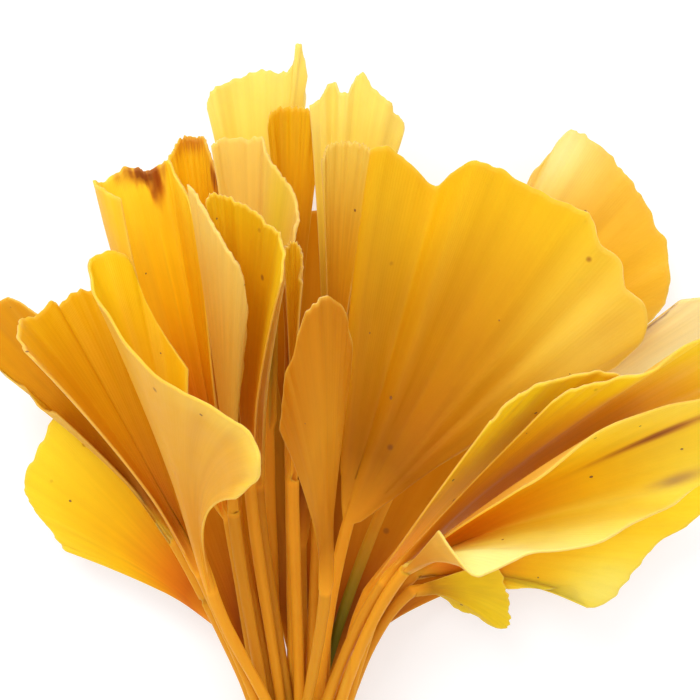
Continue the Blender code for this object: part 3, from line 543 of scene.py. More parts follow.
@dataclass
class LeafForm:
    """A leaf's middle surface and stalk line, and how far it is raised over the leaves below."""

    plan: LeafPlan
    slot: np.ndarray
    lift: np.ndarray = None
    stalk_lift: np.ndarray = None

    def rib_tips(self, places: np.ndarray) -> np.ndarray:
        """The blade's far margin, from the base, as a smooth curve through the ribs' ends."""
        return smooth_through(np.array(self.plan.tips) - np.array(self.plan.base), places)

    def columns(self) -> int:
        """How many columns of lifts the blade has."""
        ribs = len(self.plan.tips)
        return ribs if ribs >= MANY_RIBS else 2 * ribs - 1

    def lead(self) -> np.ndarray:
        """The way the stalk runs where it becomes the blade."""
        middle = unit(self.rib_tips(np.linspace(0, 1, 9)).mean(axis=0))
        return unit(unit(np.array(self.plan.base) - self.slot) + LEAD_BEND * middle)

    def sheet(self, along: np.ndarray, across: np.ndarray) -> np.ndarray:
        """The blade's unraised middle surface.

        Args:
            along: places along the ribs, from 0 at the base to 1 at the margin.
            across: places from one side margin to the other.

        Returns:
            A grid of points, rows along and columns across.
        """
        tips = self.rib_tips(across)
        length = np.linalg.norm(tips, axis=1, keepdims=True)
        lead = self.lead()
        fan = (self.plan.fan[0] + (self.plan.fan[1] - self.plan.fan[0]) * across)[:, None]
        control = self.plan.reach * length * unit(lead + fan * (tips / length - lead))
        s = along[:, None, None]
        return np.array(self.plan.base) + 2 * s * (1 - s) * control + s**2 * tips

    def stalk(self, places: np.ndarray) -> np.ndarray:
        """The unraised middle line of the stalk, from the tie to the blade's base."""
        base = np.array(self.plan.base)
        start = self.slot + AXIS * STRAIGHT_STALK
        gap = np.linalg.norm(base - start)
        u = places[:, None]
        near = (2 * u**3 - 3 * u**2 + 1) * start + (u**3 - 2 * u**2 + u) * AXIS * gap * BUNDLE_PULL
        return near + (3 * u**2 - 2 * u**3) * base + (u**3 - u**2) * self.lead() * gap

    def tail_end(self) -> np.ndarray:
        """Where the stalk ends, past the tie, a little spread from its neighbours."""
        offset = self.slot - TIE_CENTRE
        if offset[2] < 0:
            offset[2] *= TAIL_DROP
        spread = TAIL_SPLAY * offset / (2 * STALK_PITCH)
        return self.slot - unit(AXIS - spread) * STALK_TAIL

    def lay(self, ground: Ground) -> None:
        """Raise the leaf, as little as it takes, until it lies clear of everything below it."""
        along = BLADE_START + (1 - BLADE_START) * np.linspace(0, 1, SAMPLES_ALONG)
        fine = self.sheet(along, np.linspace(0, 1, SAMPLES_ACROSS))
        half = 0.5 * BLADE_THICKNESS
        need = ground.under(fine) + (half + CLEARANCE) * slope_factor(fine) - fine[..., 2]
        columns = self.columns()
        lift = np.zeros((BLADE_ROWS + 1, columns))
        nearest_row = np.round(np.linspace(0, BLADE_ROWS, SAMPLES_ALONG)).astype(int)
        nearest_column = np.round(np.linspace(0, columns - 1, SAMPLES_ACROSS)).astype(int)
        nearest = (np.repeat(nearest_row, SAMPLES_ACROSS), np.tile(nearest_column, SAMPLES_ALONG))
        places = np.linspace(0, 1, COVER_FACTOR * SAMPLES_ALONG)
        line = self.stalk(places)
        sides = line[:, None, :] + RIGHT * (STALK_RADIUS * STALK_SIDE_SAMPLES)[None, :, None]
        belly = STALK_RADIUS * np.sqrt(1 - STALK_SIDE_SAMPLES**2)
        stalk_need = (ground.under(sides, 0) + belly + STALK_CLEARANCE - sides[..., 2]).max(axis=1)
        nodes = np.arange(STALK_ROWS + 1)
        nearest_node = np.round(places * STALK_ROWS).astype(int)
        stalk_lift = np.zeros((1, STALK_ROWS + 1))
        for turn in range(LAYING_ROUNDS):
            push = np.zeros_like(lift)
            short = need - refine(lift, SAMPLES_ALONG, SAMPLES_ACROSS)
            np.maximum.at(push, nearest, np.maximum(short, 0).ravel())
            lift = lift + push
            stalk_push = np.zeros(STALK_ROWS + 1)
            stalk_short = stalk_need - np.interp(places * STALK_ROWS, nodes, stalk_lift[0])
            np.maximum.at(stalk_push, nearest_node, np.maximum(stalk_short, 0))
            stalk_push[0] = 0.0
            stalk_lift = stalk_lift + stalk_push
            shared = max(lift[0].max(), stalk_lift[0, -1])
            lift[0] = shared
            stalk_lift[0, -1] = shared
            if turn < LAYING_ROUNDS - 1:
                lift = relax(lift)
                stalk_lift = relax(stalk_lift)
                stalk_lift[0, 0] = 0.0
        self.lift, self.stalk_lift = lift, stalk_lift[0]
        self.cover(ground)

    def cover(self, ground: Ground) -> None:
        """Add the leaf, where it has come to lie, to what lies on the surface."""
        rows, columns = COVER_FACTOR * SAMPLES_ALONG, COVER_FACTOR * SAMPLES_ACROSS
        along = BLADE_START + (1 - BLADE_START) * np.linspace(0, 1, rows)
        sheet = self.sheet(along, np.linspace(0, 1, columns))
        sheet[..., 2] += refine(self.lift, rows, columns)
        sheet[..., 2] += 0.5 * BLADE_THICKNESS * slope_factor(sheet)
        ground.cover(sheet)
        line = self.stalk(np.linspace(0, 1, rows))
        where = np.linspace(0, 1, rows) * STALK_ROWS
        line[:, 2] += np.interp(where, np.arange(STALK_ROWS + 1), self.stalk_lift)
        for side in STALK_SIDE_SAMPLES:
            top = line + RIGHT * side * STALK_RADIUS
            top[:, 2] += STALK_RADIUS * np.sqrt(1 - side**2)
            ground.cover(top)

    def raised_sheet(self, along: np.ndarray, across: np.ndarray) -> np.ndarray:
        """The blade's middle surface where it lies, with its lifts read smoothly."""
        sheet = self.sheet(along, across)
        by_column = smooth_through(self.lift.T, across).T
        sheet[..., 2] += smooth_through(by_column, (along - BLADE_START) / (1 - BLADE_START))
        return sheet

    def raised_stalk(self, places: np.ndarray) -> np.ndarray:
        """The stalk's middle line where it lies."""
        line = self.stalk(places)
        line[:, 2] += smooth_through(self.stalk_lift[:, None], places)[:, 0]
        return line


class RingStack:
    """Rings of points with quads between equal rings and fans of triangles between unequal ones."""

    def __init__(self) -> None:
        """Start empty."""
        self.points: list[np.ndarray] = []
        self.faces: list = []
        self.last: np.ndarray = None
        self.shares: np.ndarray = None
        self.total = 0

    def add(self, ring: np.ndarray, shares: np.ndarray) -> None:
        """Add a ring, joined to the one before it.

        Args:
            ring: its points, in the turning sense of the stack.
            shares: each point's share of the turn, from 0 up to 1, rising.
        """
        index = self.total + np.arange(len(ring))
        self.points.append(ring)
        self.total += len(ring)
        if self.last is None:
            self.faces.append(tuple(index[::-1].tolist()))
        elif len(self.last) == len(ring):
            quads = np.stack([self.last, np.roll(self.last, -1), np.roll(index, -1), index], -1)
            self.faces.extend(quads.tolist())
        else:
            self.stitch(index, shares)
        self.last, self.shares = index, shares

    def stitch(self, index: np.ndarray, shares: np.ndarray) -> None:
        """Triangles from the last ring to a ring of another count."""
        low, high = self.last, index
        i = j = 0
        while i < len(low) or j < len(high):
            next_low = self.shares[(i + 1) % len(low)] + (i + 1) // len(low)
            next_high = shares[(j + 1) % len(high)] + (j + 1) // len(high)
            if j >= len(high) or (i < len(low) and next_low <= next_high):
                self.faces.append((low[i % len(low)], low[(i + 1) % len(low)], high[j % len(high)]))
                i += 1
            else:
                self.faces.append((low[i % len(low)], high[(j + 1) % len(high)], high[j % len(high)]))
                j += 1

    def close_flat(self) -> None:
        """Close the last ring, whose halves face each other, with a strip of quads."""
        half = len(self.last) // 2
        upper, lower = self.last[:half], self.last[half:][::-1]
        strip = np.stack([upper[:-1], upper[1:], lower[1:], lower[:-1]], -1)
        self.faces.extend(strip.tolist())


@dataclass
class LeafSkin:
    """A leaf's fine closed surface, with its colours and its places across and along the blade."""

    form: LeafForm
    seed: int
    stack: RingStack = field(default_factory=RingStack)
    across: list = field(default_factory=list)
    along: list = field(default_factory=list)
    back: list = field(default_factory=list)

    def loop_shares(self, columns: int) -> np.ndarray:
        """The shares of the turn at a blade ring's points, over the top and back underneath."""
        gap = 0.25 / columns
        over = np.linspace(0, 0.5 - gap, columns)
        return np.concatenate([over, np.linspace(0.5 + gap, 1 - gap, columns)])

    def note(self, across: np.ndarray, along: float, back: np.ndarray) -> None:
        """Keep a ring's places for its colours and veins."""
        self.across.append(across)
        self.along.append(np.full(len(across), along))
        self.back.append(back)

    def grow_stalk(self, side: np.ndarray) -> None:
        """The round stalk, from its cut end past the tie to the blade's base."""
        random = np.random.default_rng(self.seed)
        end = self.form.tail_end()
        straight = self.form.slot - AXIS * STRAIGHT_STALK
        tail = np.linspace(0, 1, TAIL_STEPS, endpoint=False)[:, None]
        line = np.vstack([end + (straight - end) * tail, straight, self.form.slot,
                          self.form.raised_stalk(np.linspace(0, 1, STALK_STEPS))])
        way = unit(np.gradient(line, axis=0))
        turns = np.pi - np.arange(STALK_SIDES) * 2 * np.pi / STALK_SIDES
        reach = np.linspace(0, 1, len(line))
        uneven, knots = GIRTH_WANDER
        girth = 1 - GIRTH_DIP * np.sin(np.pi * reach) + uneven * wandering(reach, knots, random)
        girth = np.minimum(girth * (1 + GIRTH_DIP * smooth_step(1 - reach / FOOT_SHARE)), 1.0)
        grooves = 1 - GROOVE_DEPTH * (0.5 + 0.5 * np.cos(GROOVES * turns))
        for share, centre, direction, thick in zip(reach, line, way, girth):
            turned = RIGHT * (1 - share) + side * share
            turned = unit(turned - direction * np.dot(turned, direction))
            over = np.cross(turned, direction)
            ring = (np.cos(turns)[:, None] * turned + np.sin(turns)[:, None] * over) * grooves[:, None]
            self.stack.add(centre + STALK_RADIUS * thick * ring, np.arange(STALK_SIDES) / STALK_SIDES)
            across = 0.5 - 0.5 * np.cos(turns)
            self.note(across, -1 + share, (np.sin(turns) < 0).astype(float))

    def half_thickness(self, along: float, across: np.ndarray, flat: float) -> np.ndarray:
        """Half the blade's thickness along one row: round near the stalk, thin and beaded farther out."""
        side, end, thinning = RIM_WIDTHS
        edge = np.minimum(across, 1 - across) * 2
        bead = RIM_BEAD * np.maximum(bell(edge / side), bell((1 - along) / end))
        thin = FINE_HALF_THICKNESS * (1 - RIM_THINNING * bell(edge / thinning)) + bead
        throat = 1 - smooth_step(np.array(along / THROAT_FADE))
        thin = thin + THROAT_EXTRA * throat * np.sin(np.pi * across)
        return STALK_RADIUS * (1 - flat) * np.sin(np.pi * across) + flat * thin

    def shaped_sheet(self, along: np.ndarray, across: np.ndarray) -> tuple[np.ndarray, np.ndarray]:
        """The middle surface with its cockles, ruffles and uneven margin, and its normals."""
        plan = self.form.plan
        random = np.random.default_rng(self.seed + 1)
        sheet = self.form.raised_sheet(along, across)
        normal = sheet_normals(sheet)
        grown = smooth_step((along - COCKLE_FROM) / (1 - COCKLE_FROM))[:, None]
        far = smooth_step((along - RUFFLE_FROM) / (1 - RUFFLE_FROM))[:, None]
        cockle = plan.cockle * wandering(across, COCKLE_KNOTS[0], random) * grown
        cockle = cockle + SMALL_COCKLE * plan.cockle * wandering(across, COCKLE_KNOTS[1], random) * grown
        ruffle = plan.ruffle * wandering(across, RUFFLE_KNOTS, random) * far
        uneven, notches = (0.5 + 0.5 * wandering(across, knots, random) for knots in MARGIN_KNOTS)
        pulled = (MARGIN_DEPTHS[0] * uneven + MARGIN_DEPTHS[1] * notches) * far
        away = unit(sheet - np.array(plan.base))
        sheet = sheet + normal * (cockle + ruffle)[..., None] - away * pulled[..., None]
        return sheet, normal

    def grow_blade(self) -> None:
        """The stalk and the blade, in bands that get finer towards the margin."""
        start = self.form.raised_sheet(np.array(FIRST_ROWS), np.linspace(0, 1, NARROW_COLUMNS))
        side = unit(start[1, -1] - start[1, 0])
        self.grow_stalk(side)
        bands = ((FIRST_ROW, NARROW_END, NARROW_ROWS, NARROW_COLUMNS),
                 (NARROW_END, MIDDLE_END, MIDDLE_ROWS, MIDDLE_COLUMNS),
                 (MIDDLE_END, 1.0, FINE_ROWS, FINE_COLUMNS))
        for low, high, rows, columns in bands:
            last = high == 1.0
            along = np.linspace(low, high, rows, endpoint=last)
            across = np.linspace(0, 1, columns)
            read = along
            if not last:
                read = np.concatenate([[max(low - ROW_STEP, ROW_STEP)], along, [high + ROW_STEP]])
            sheet, normal = self.shaped_sheet(read, across)
            if not last:
                sheet, normal = sheet[1:-1], normal[1:-1]
            for row, place in enumerate(along):
                flat = float(smooth_step(np.array(place / FLAT_FROM)))
                half = self.half_thickness(place, across, flat)[:, None] * normal[row]
                spread = -STALK_RADIUS * (1 - flat) * np.cos(np.pi * across)[:, None] * side
                middle = sheet[row] + spread
                ring = np.concatenate([middle + half, (middle - half)[::-1]])
                self.stack.add(ring, self.loop_shares(columns))
                both = np.concatenate([across, across[::-1]])
                self.note(both, place, np.repeat([0.0, 1.0], columns))
        self.stack.close_flat()

    def paint(self) -> np.ndarray:
        """A display colour for each point, from the leaf's tint and its patches, with the painted light and
        shade that these carry.
        """
        tint = self.form.plan.tint
        across, along, back = (np.concatenate(held) for held in (self.across, self.along, self.back))
        random = np.random.default_rng(self.seed + 2)
        sides = []
        # The tint's rise from stalk to margin, partly painted light and painted shade.
        for blade in (tint.back, tint.front) if self.form.plan.swapped else (tint.front, tint.back):
            colours = np.array((tint.stalk, tint.stalk, *blade))
            sides.append(np.stack([np.interp(along, TINT_PLACES, colours[:, k]) for k in range(3)], -1))
        colour = sides[0] * (1 - back[:, None]) + sides[1] * back[:, None]
        stalk_tone = STALK_TONES[0] + STALK_TONES[1] * random.random()
        colour = colour * np.where(along < 0, stalk_tone, 1.0)[:, None]
        coarse, fine = (wandering(across, knots, random) for knots in STREAK_KNOTS)
        grown = np.clip(along, 0, 1)
        streak = (coarse * 0.6 + fine * 0.4) * (0.3 + 0.7 * grown)
        colour = colour * (1 + STREAK_STRENGTH * streak)[:, None]
        pale = np.clip(wandering(across, PALE_KNOTS, random), 0, 1) * smooth_step(grown)
        colour = blend(colour, PALE_STREAK, PALE_STRENGTH * pale)
        mottle = wandering(across, MOTTLE_KNOTS[0], random) * wandering(grown, MOTTLE_KNOTS[1], random)
        # Patches: the leaves' own marks, and on some leaves painted light.
        for patch in self.form.plan.patches:
            reach = ((across - patch.across) / patch.wide) ** 2 + ((along - patch.along) / patch.long) ** 2
            amount = patch.strength * np.exp(-reach)
            if patch.ragged:
                rough = wandering(across, RAGGED_KNOTS[0], random)
                rough = rough * wandering(grown, RAGGED_KNOTS[1], random)
                torn = smooth_step(amount * RAGGED_GAIN * (0.5 + 0.5 * rough))
                amount = amount * (1 - patch.ragged) + patch.ragged * torn
            amount = amount * np.where(back > 0.5, float(patch.on_back), 1.0)
            colour = blend(colour, patch.colour, np.clip(amount, 0, 1))
        edge = np.minimum(across, 1 - across) * 2
        rim = np.maximum(bell(edge / RIM_SHARE[0]) * (along > RIM_START), bell((1 - along) / RIM_SHARE[1]))
        colour = blend(colour, tint.rim, RIM_STRENGTH * rim)
        colour = blend(colour, CUT_COLOUR, CUT_STRENGTH * bell((along + 1) / CUT_SHARE))
        shade = MOTTLE_RANGE[0] + MOTTLE_RANGE[1] * (0.5 + 0.5 * mottle)
        return np.clip(colour * shade[:, None], 0, 1)

    def build(self, origin: np.ndarray) -> bpy.types.Object:
        """The leaf's object, before its veins and scabs.

        Args:
            origin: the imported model's origin, in the plan's millimetres.

        Returns:
            The object, with its mesh in metres and its attributes.
        """
        self.grow_blade()
        points = (np.concatenate(self.stack.points) - origin) * MM
        mesh = bpy.data.meshes.new(self.form.plan.name + "_skin")
        mesh.from_pydata(points.tolist(), [], [tuple(int(k) for k in face) for face in self.stack.faces])
        mesh.shade_smooth()
        colours = mesh.attributes.new("tint", "FLOAT_COLOR", "POINT")
        rgba = np.ones((len(points), 4))
        rgba[:, :3] = linear(self.paint())
        colours.data.foreach_set("color", rgba.astype(np.float32).ravel())
        for name, values in (("across", self.across), ("along", self.along), ("back", self.back)):
            held = mesh.attributes.new(name, "FLOAT", "POINT")
            held.data.foreach_set("value", np.concatenate(values).astype(np.float32))
        return in_scene(self.form.plan.name + "_skin", mesh)


class NodeHelper:
    """Short ways to add, fill and join nodes in a tree."""

    def __init__(self, tree: bpy.types.NodeTree) -> None:
        """Work on a tree, emptied first."""
        self.tree = tree
        tree.nodes.clear()

    def fill(self, node: bpy.types.Node, sockets: dict) -> bpy.types.Node:
        """Set a node's inputs to values, or link them to other nodes' outputs."""
        for name, value in sockets.items():
            if isinstance(value, bpy.types.NodeSocket):
                self.tree.links.new(value, node.inputs[name])
            else:
                node.inputs[name].default_value = value
        return node

    def add(self, kind: str, sockets: dict | None = None, **settings: object) -> bpy.types.Node:
        """A new node with its settings, and its inputs filled."""
        node = self.tree.nodes.new(kind)
        for name, value in settings.items():
            setattr(node, name, value)
        return self.fill(node, sockets or {})

    def made(self, kind: str, sockets: dict | None = None, **settings: object) -> object:
        """A new node's first output."""
        return self.add(kind, sockets, **settings).outputs[0]

    def maths(self, operation: str, *values: object) -> object:
        """A Math node's output for sockets or numbers."""
        return self.made("ShaderNodeMath", dict(enumerate(values)), operation=operation)

    def scaled(self, vector: object, amount: object) -> object:
        """A vector or colour times an amount."""
        return self.made("ShaderNodeVectorMath", {0: vector, "Scale": amount}, operation="SCALE")

    def noise(self, place: object, scale: float, detail: float = 2.0) -> object:
        """Cloudy noise at a place."""
        return self.made("ShaderNodeTexNoise", {"Vector": place, "Scale": scale, "Detail": detail})

    def ramp(self, value: object, low: float, high: float, top: float = 1.0) -> object:
        """From 0 to the top as the value goes from low to high."""
        return self.made("ShaderNodeMapRange", {
            "Value": value, "From Min": low, "From Max": high, "To Max": top})

    def mix(self, amount: object, first: object, second: object) -> object:
        """Two colours mixed; a plain colour is given as three numbers."""
        first, second = ((*c, 1.0) if isinstance(c, tuple) else c for c in (first, second))
        mix = self.add("ShaderNodeMix", {"Factor": amount, 6: first, 7: second}, data_type="RGBA")
        return mix.outputs[2]

    def bump(self, height: object, strength: float, distance: float) -> object:
        """Relief too small for the mesh, as a normal."""
        return self.made("ShaderNodeBump", {"Height": height, "Strength": strength, "Distance": distance})


def new_material(name: str) -> tuple[bpy.types.Material, NodeHelper, bpy.types.Node]:
    """A material with one Principled shader, and the helper for its tree."""
    material = bpy.data.materials.new(name)
    material.use_nodes = True
    kit = NodeHelper(material.node_tree)
    shader = kit.add("ShaderNodeBsdfPrincipled")
    kit.add("ShaderNodeOutputMaterial", {0: shader.outputs[0]})
    return material, kit, shader


@dataclass(frozen=True)
class LeafFinish:
    """A dry leaf's surface: its painted tint, which carries painted light and shade besides its own colour,
    streaks along the ribs, mottling, specks and fine veins.
    """

    slot: Slot
    roughness: float = 0.50
    glow: float = 0.55
    glow_colour: Colour = (1.0, 0.75, 0.4)
    glow_depth: float = 2.2 * MM
    sheen: float = 0.12
    deepen: Colour = (0.55, 0.22, 0.01)
    speck: Colour = (0.22, 0.07, 0.01)
    streak_count: float = 120.0
    streak_breaks: float = 2.5
    fine_veins: float = 130.0
    speck_share: float = 0.18

    def make(self) -> bpy.types.Material:
        """The material's nodes."""
        material, kit, shader = new_material(self.slot.value + "_leaf")
        tint = kit.add("ShaderNodeAttribute", attribute_name="tint").outputs["Color"]
        across = kit.add("ShaderNodeAttribute", attribute_name="across").outputs["Fac"]
        along = kit.add("ShaderNodeAttribute", attribute_name="along").outputs["Fac"]
        place = kit.add("ShaderNodeTexCoord").outputs["Object"]
        colour = self.specks(kit, self.mottle(kit, self.streaks(kit, tint, across, along), place), place)
        gloss = kit.maths("MULTIPLY_ADD", kit.noise(place, scale=320.0), 0.25, self.roughness - 0.10)
        kit.fill(shader, {
            "Base Color": colour, "Roughness": gloss, "Normal": self.emboss(kit, across, along, place),
            "Subsurface Weight": self.glow, "Subsurface Radius": self.glow_colour,
            "Subsurface Scale": self.glow_depth, "Specular IOR Level": self.sheen})
        return material

    def streaks(self, kit: NodeHelper, colour: object, across: object, along: object) -> object:
        """Fine light and dark streaks that follow the ribs."""
        place = kit.made("ShaderNodeCombineXYZ", {0: kit.maths("MULTIPLY", across, self.streak_count),
                                                  1: kit.maths("MULTIPLY", along, self.streak_breaks)})
        noise = kit.noise(place, scale=1.0, detail=4.0)
        return kit.scaled(colour, kit.maths("MULTIPLY_ADD", noise, 0.10, 0.95))

    def mottle(self, kit: NodeHelper, colour: object, place: object) -> object:
        """Soft clouds of a deeper colour."""
        clouds = kit.ramp(kit.noise(place, scale=95.0, detail=5.0), low=0.44, high=0.78, top=0.20)
        return kit.mix(clouds, colour, self.deepen)

    def specks(self, kit: NodeHelper, colour: object, place: object) -> object:
        """Small brown specks, some larger than others."""
        cells = kit.add("ShaderNodeTexVoronoi", {"Vector": place, "Scale": 210.0})
        red = kit.made("ShaderNodeSeparateColor", {0: cells.outputs["Color"]})
        chosen = kit.maths("GREATER_THAN", red, 1 - self.speck_share)
        inside = kit.ramp(cells.outputs["Distance"], low=0.13, high=0.06, top=0.75)
        return kit.mix(kit.maths("MULTIPLY", inside, chosen), colour, self.speck)

    def emboss(self, kit: NodeHelper, across: object, along: object, place: object) -> object:
        """The finest veins and the grain between them."""
        fine = kit.maths("SINE", kit.maths("MULTIPLY", across, 2 * math.pi * self.fine_veins))
        fine = kit.maths("MULTIPLY", fine, kit.maths("MULTIPLY", along, 0.5))
        grain = kit.noise(place, scale=1500.0, detail=3.0)
        return kit.bump(kit.maths("ADD", fine, grain), strength=0.22, distance=0.06 * MM)


@dataclass(frozen=True)
class ScabFinish:
    """The dark dry spots on a leaf."""

    dark: Colour = (0.13, 0.035, 0.006)
    light: Colour = (0.34, 0.13, 0.02)
    roughness: float = 0.7

    def make(self) -> bpy.types.Material:
        """The material's nodes."""
        material, kit, shader = new_material("scab")
        noise = kit.noise(kit.add("ShaderNodeTexCoord").outputs["Object"], scale=900.0)
        kit.fill(shader, {"Base Color": kit.mix(noise, self.dark, self.light), "Roughness": self.roughness})
        return material


@dataclass(frozen=True)
class TwineFinish:
    """Plant-fibre twine: straw brown with darker and lighter fibres along each strand."""

    light: Colour = (0.62, 0.44, 0.22)
    dark: Colour = (0.26, 0.15, 0.06)
    roughness: float = 0.85
    stretch: Point = (900.0, 2600.0, 900.0)

    def make(self) -> bpy.types.Material:
        """The material's nodes."""
        material, kit, shader = new_material("twine_fibre")
        place = kit.add("ShaderNodeTexCoord").outputs["Object"]
        along = kit.made("ShaderNodeMapping", {"Vector": place, "Scale": self.stretch})
        fibres = kit.noise(along, scale=1.6, detail=5.0)
        kit.fill(shader, {"Base Color": kit.mix(fibres, self.dark, self.light), "Roughness": self.roughness,
                          "Normal": kit.bump(fibres, strength=0.6, distance=0.08 * MM)})
        return material


def new_tree(name: str, sockets: dict[str, str]) -> tuple[bpy.types.NodeTree, NodeHelper, dict]:
    """A Geometry Nodes tree with named inputs.

    Args:
        name: the tree's name.
        sockets: the kind of each input by its name, besides the geometry.

    Returns:
        The tree, its helper, and its inputs' sockets by name.
    """
    tree = bpy.data.node_groups.new(name, "GeometryNodeTree")
    for key, kind in {"Geometry": "Geometry", **sockets}.items():
        tree.interface.new_socket(key, in_out="INPUT", socket_type="NodeSocket" + kind)
    tree.interface.new_socket("Geometry", in_out="OUTPUT", socket_type="NodeSocketGeometry")
    kit = NodeHelper(tree)
    return tree, kit, {socket.name: socket for socket in kit.add("NodeGroupInput").outputs if socket.name}


def settle_modifier(made: bpy.types.Object, tree: bpy.types.NodeTree, values: dict[str, object],
                    name: str) -> bpy.types.Object:
    """Run a tree on an object and keep the result as a plain mesh.

    Args:
        made: the object to run it on; it is removed.
        tree: the tree.
        values: the tree's inputs by name.
        name: the name of the finished object.

    Returns:
        The finished object, with no modifier.
    """
    modifier = made.modifiers.new("grow", "NODES")
    modifier.node_group = tree
    for item in tree.interface.items_tree:
        if item.name in values:
            modifier[item.identifier] = values[item.name]
    graph = bpy.context.evaluated_depsgraph_get()
    mesh = bpy.data.meshes.new_from_object(made.evaluated_get(graph), depsgraph=graph)
    mesh.name = name
    made.modifiers.remove(modifier)
    bpy.data.objects.remove(made)
    mesh.shade_smooth()
    return in_scene(name, mesh)


class VeinTree:
    """The tree that raises the veins of a blade along its ribs and scatters dry scabs on it."""

    def __init__(self) -> None:
        """Build the tree once; every leaf uses it."""
        self.tree, kit, given = new_tree("veins_and_scabs", {
            "Vein Count": "Float", "Ridge Height": "Float", "Scab Spacing": "Float", "Scab Size": "Float",
            "Scab Density": "Float", "Seed": "Int",
            "Leaf Material": "Material", "Scab Material": "Material"})
        raised = self.raise_veins(kit, given)
        leaf = kit.made("GeometryNodeSetMaterial", {"Geometry": raised, "Material": given["Leaf Material"]})
        both = kit.add("GeometryNodeJoinGeometry", {0: self.scatter_scabs(kit, given, raised)})
        kit.fill(both, {0: leaf})
        kit.add("NodeGroupOutput", {0: both.outputs[0]})

    def read(self, kit: NodeHelper, name: str) -> object:
        """A named attribute of the leaf."""
        return kit.made("GeometryNodeInputNamedAttribute", {"Name": name}, data_type="FLOAT")

    def ridges(self, kit: NodeHelper, turn: object, spread: float, sharpness: float) -> object:
        """Ridges across the blade, as sharp as the power of a cosine."""
        wave = kit.maths("ABSOLUTE", kit.maths("COSINE", kit.maths("MULTIPLY", turn, spread)))
        return kit.maths("POWER", wave, sharpness)

    def raise_veins(self, kit: NodeHelper, given: dict) -> object:
        """Ridges that follow the ribs, and twice as many farther out, as the veins fork."""
        along = self.read(kit, "along")
        turn = kit.maths("MULTIPLY", self.read(kit, "across"), given["Vein Count"])
        far = self.ridges(kit, turn, spread=math.pi, sharpness=6.0)
        near = self.ridges(kit, turn, spread=0.5 * math.pi, sharpness=9.0)
        share = kit.ramp(along, low=0.45, high=0.70)
        mixed = kit.maths("ADD", kit.maths("MULTIPLY", far, share),
                          kit.maths("MULTIPLY", near, kit.maths("SUBTRACT", 1.0, share)))
        grown = kit.maths("MULTIPLY", mixed, kit.ramp(along, low=0.08, high=0.35))
        height = kit.maths("MULTIPLY", grown, given["Ridge Height"])
        offset = kit.scaled(kit.made("GeometryNodeInputNormal"), height)
        return kit.made("GeometryNodeSetPosition", {"Geometry": given["Geometry"], "Offset": offset})

    def scatter_scabs(self, kit: NodeHelper, given: dict, leaf: object) -> object:
        """Small flat dark scabs, spread over the blade."""
        spread = kit.add("GeometryNodeDistributePointsOnFaces", {
            "Mesh": leaf, "Distance Min": given["Scab Spacing"], "Density Max": given["Scab Density"],
            "Seed": given["Seed"],
            "Selection": kit.maths("GREATER_THAN", self.read(kit, "along"), SCABS_FROM),
        }, distribute_method="POISSON")
        blob = kit.made("GeometryNodeMeshIcoSphere", {"Subdivisions": 2, "Radius": given["Scab Size"]})
        flat = kit.made("GeometryNodeTransform", {"Geometry": blob, "Scale": SCAB_SHAPE})
        least, most = SCAB_SCALES
        vary = kit.add("FunctionNodeRandomValue", {2: least, 3: most, "Seed": given["Seed"]},
                       data_type="FLOAT")
        scabs = kit.made("GeometryNodeInstanceOnPoints", {
            "Points": spread.outputs["Points"], "Rotation": spread.outputs["Rotation"],
            "Instance": flat, "Scale": vary.outputs[1]})
        real = kit.made("GeometryNodeRealizeInstances", {0: scabs})
        return kit.made("GeometryNodeSetMaterial", {
            "Geometry": real, "Material": given["Scab Material"]})


@dataclass
class LeafBunch:
    """All the leaves, laid one on another, each with its veins, scabs and finish."""

    plans: tuple[LeafPlan, ...]
    ridge_height: float = 0.020 * MM
    scab_size: float = 0.30 * MM
    scab_spacing: float = 6.0 * MM
    scab_density: float = 450.0
    first_seed: int = 100
    seed_step: int = 7
    forms: list[LeafForm] = field(default_factory=list)

    def lay(self) -> dict[str, np.ndarray]:
        """Lay the leaves down from the lowest to the highest."""
        slots = bundle_slots(self.plans)
        ground = Ground()
        for plan in self.plans:
            form = LeafForm(plan, slots[plan.name])
            form.lay(ground)
            self.forms.append(form)
        return slots

    def build(self, origin: np.ndarray) -> None:
        """Build every leaf and set it in its body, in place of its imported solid."""
        veins = VeinTree()
        finishes = {slot: LeafFinish(slot).make() for slot in Slot if slot is not Slot.TWINE}
        scab = ScabFinish().make()
        for number, form in enumerate(self.forms):
            plan = form.plan
            skin = LeafSkin(form, seed=self.first_seed + self.seed_step * number).build(origin)
            piece = settle_modifier(skin, veins.tree, {
                "Vein Count": float(plan.veins), "Ridge Height": self.ridge_height,
                "Scab Spacing": self.scab_spacing, "Scab Size": self.scab_size,
                "Scab Density": self.scab_density * plan.scabs, "Seed": number,
                "Leaf Material": finishes[plan.slot], "Scab Material": scab}, plan.name + "_blade")
            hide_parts(plan.name)
            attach(piece, "root")
            log.info("%s: %d points", piece.name, len(piece.data.vertices))


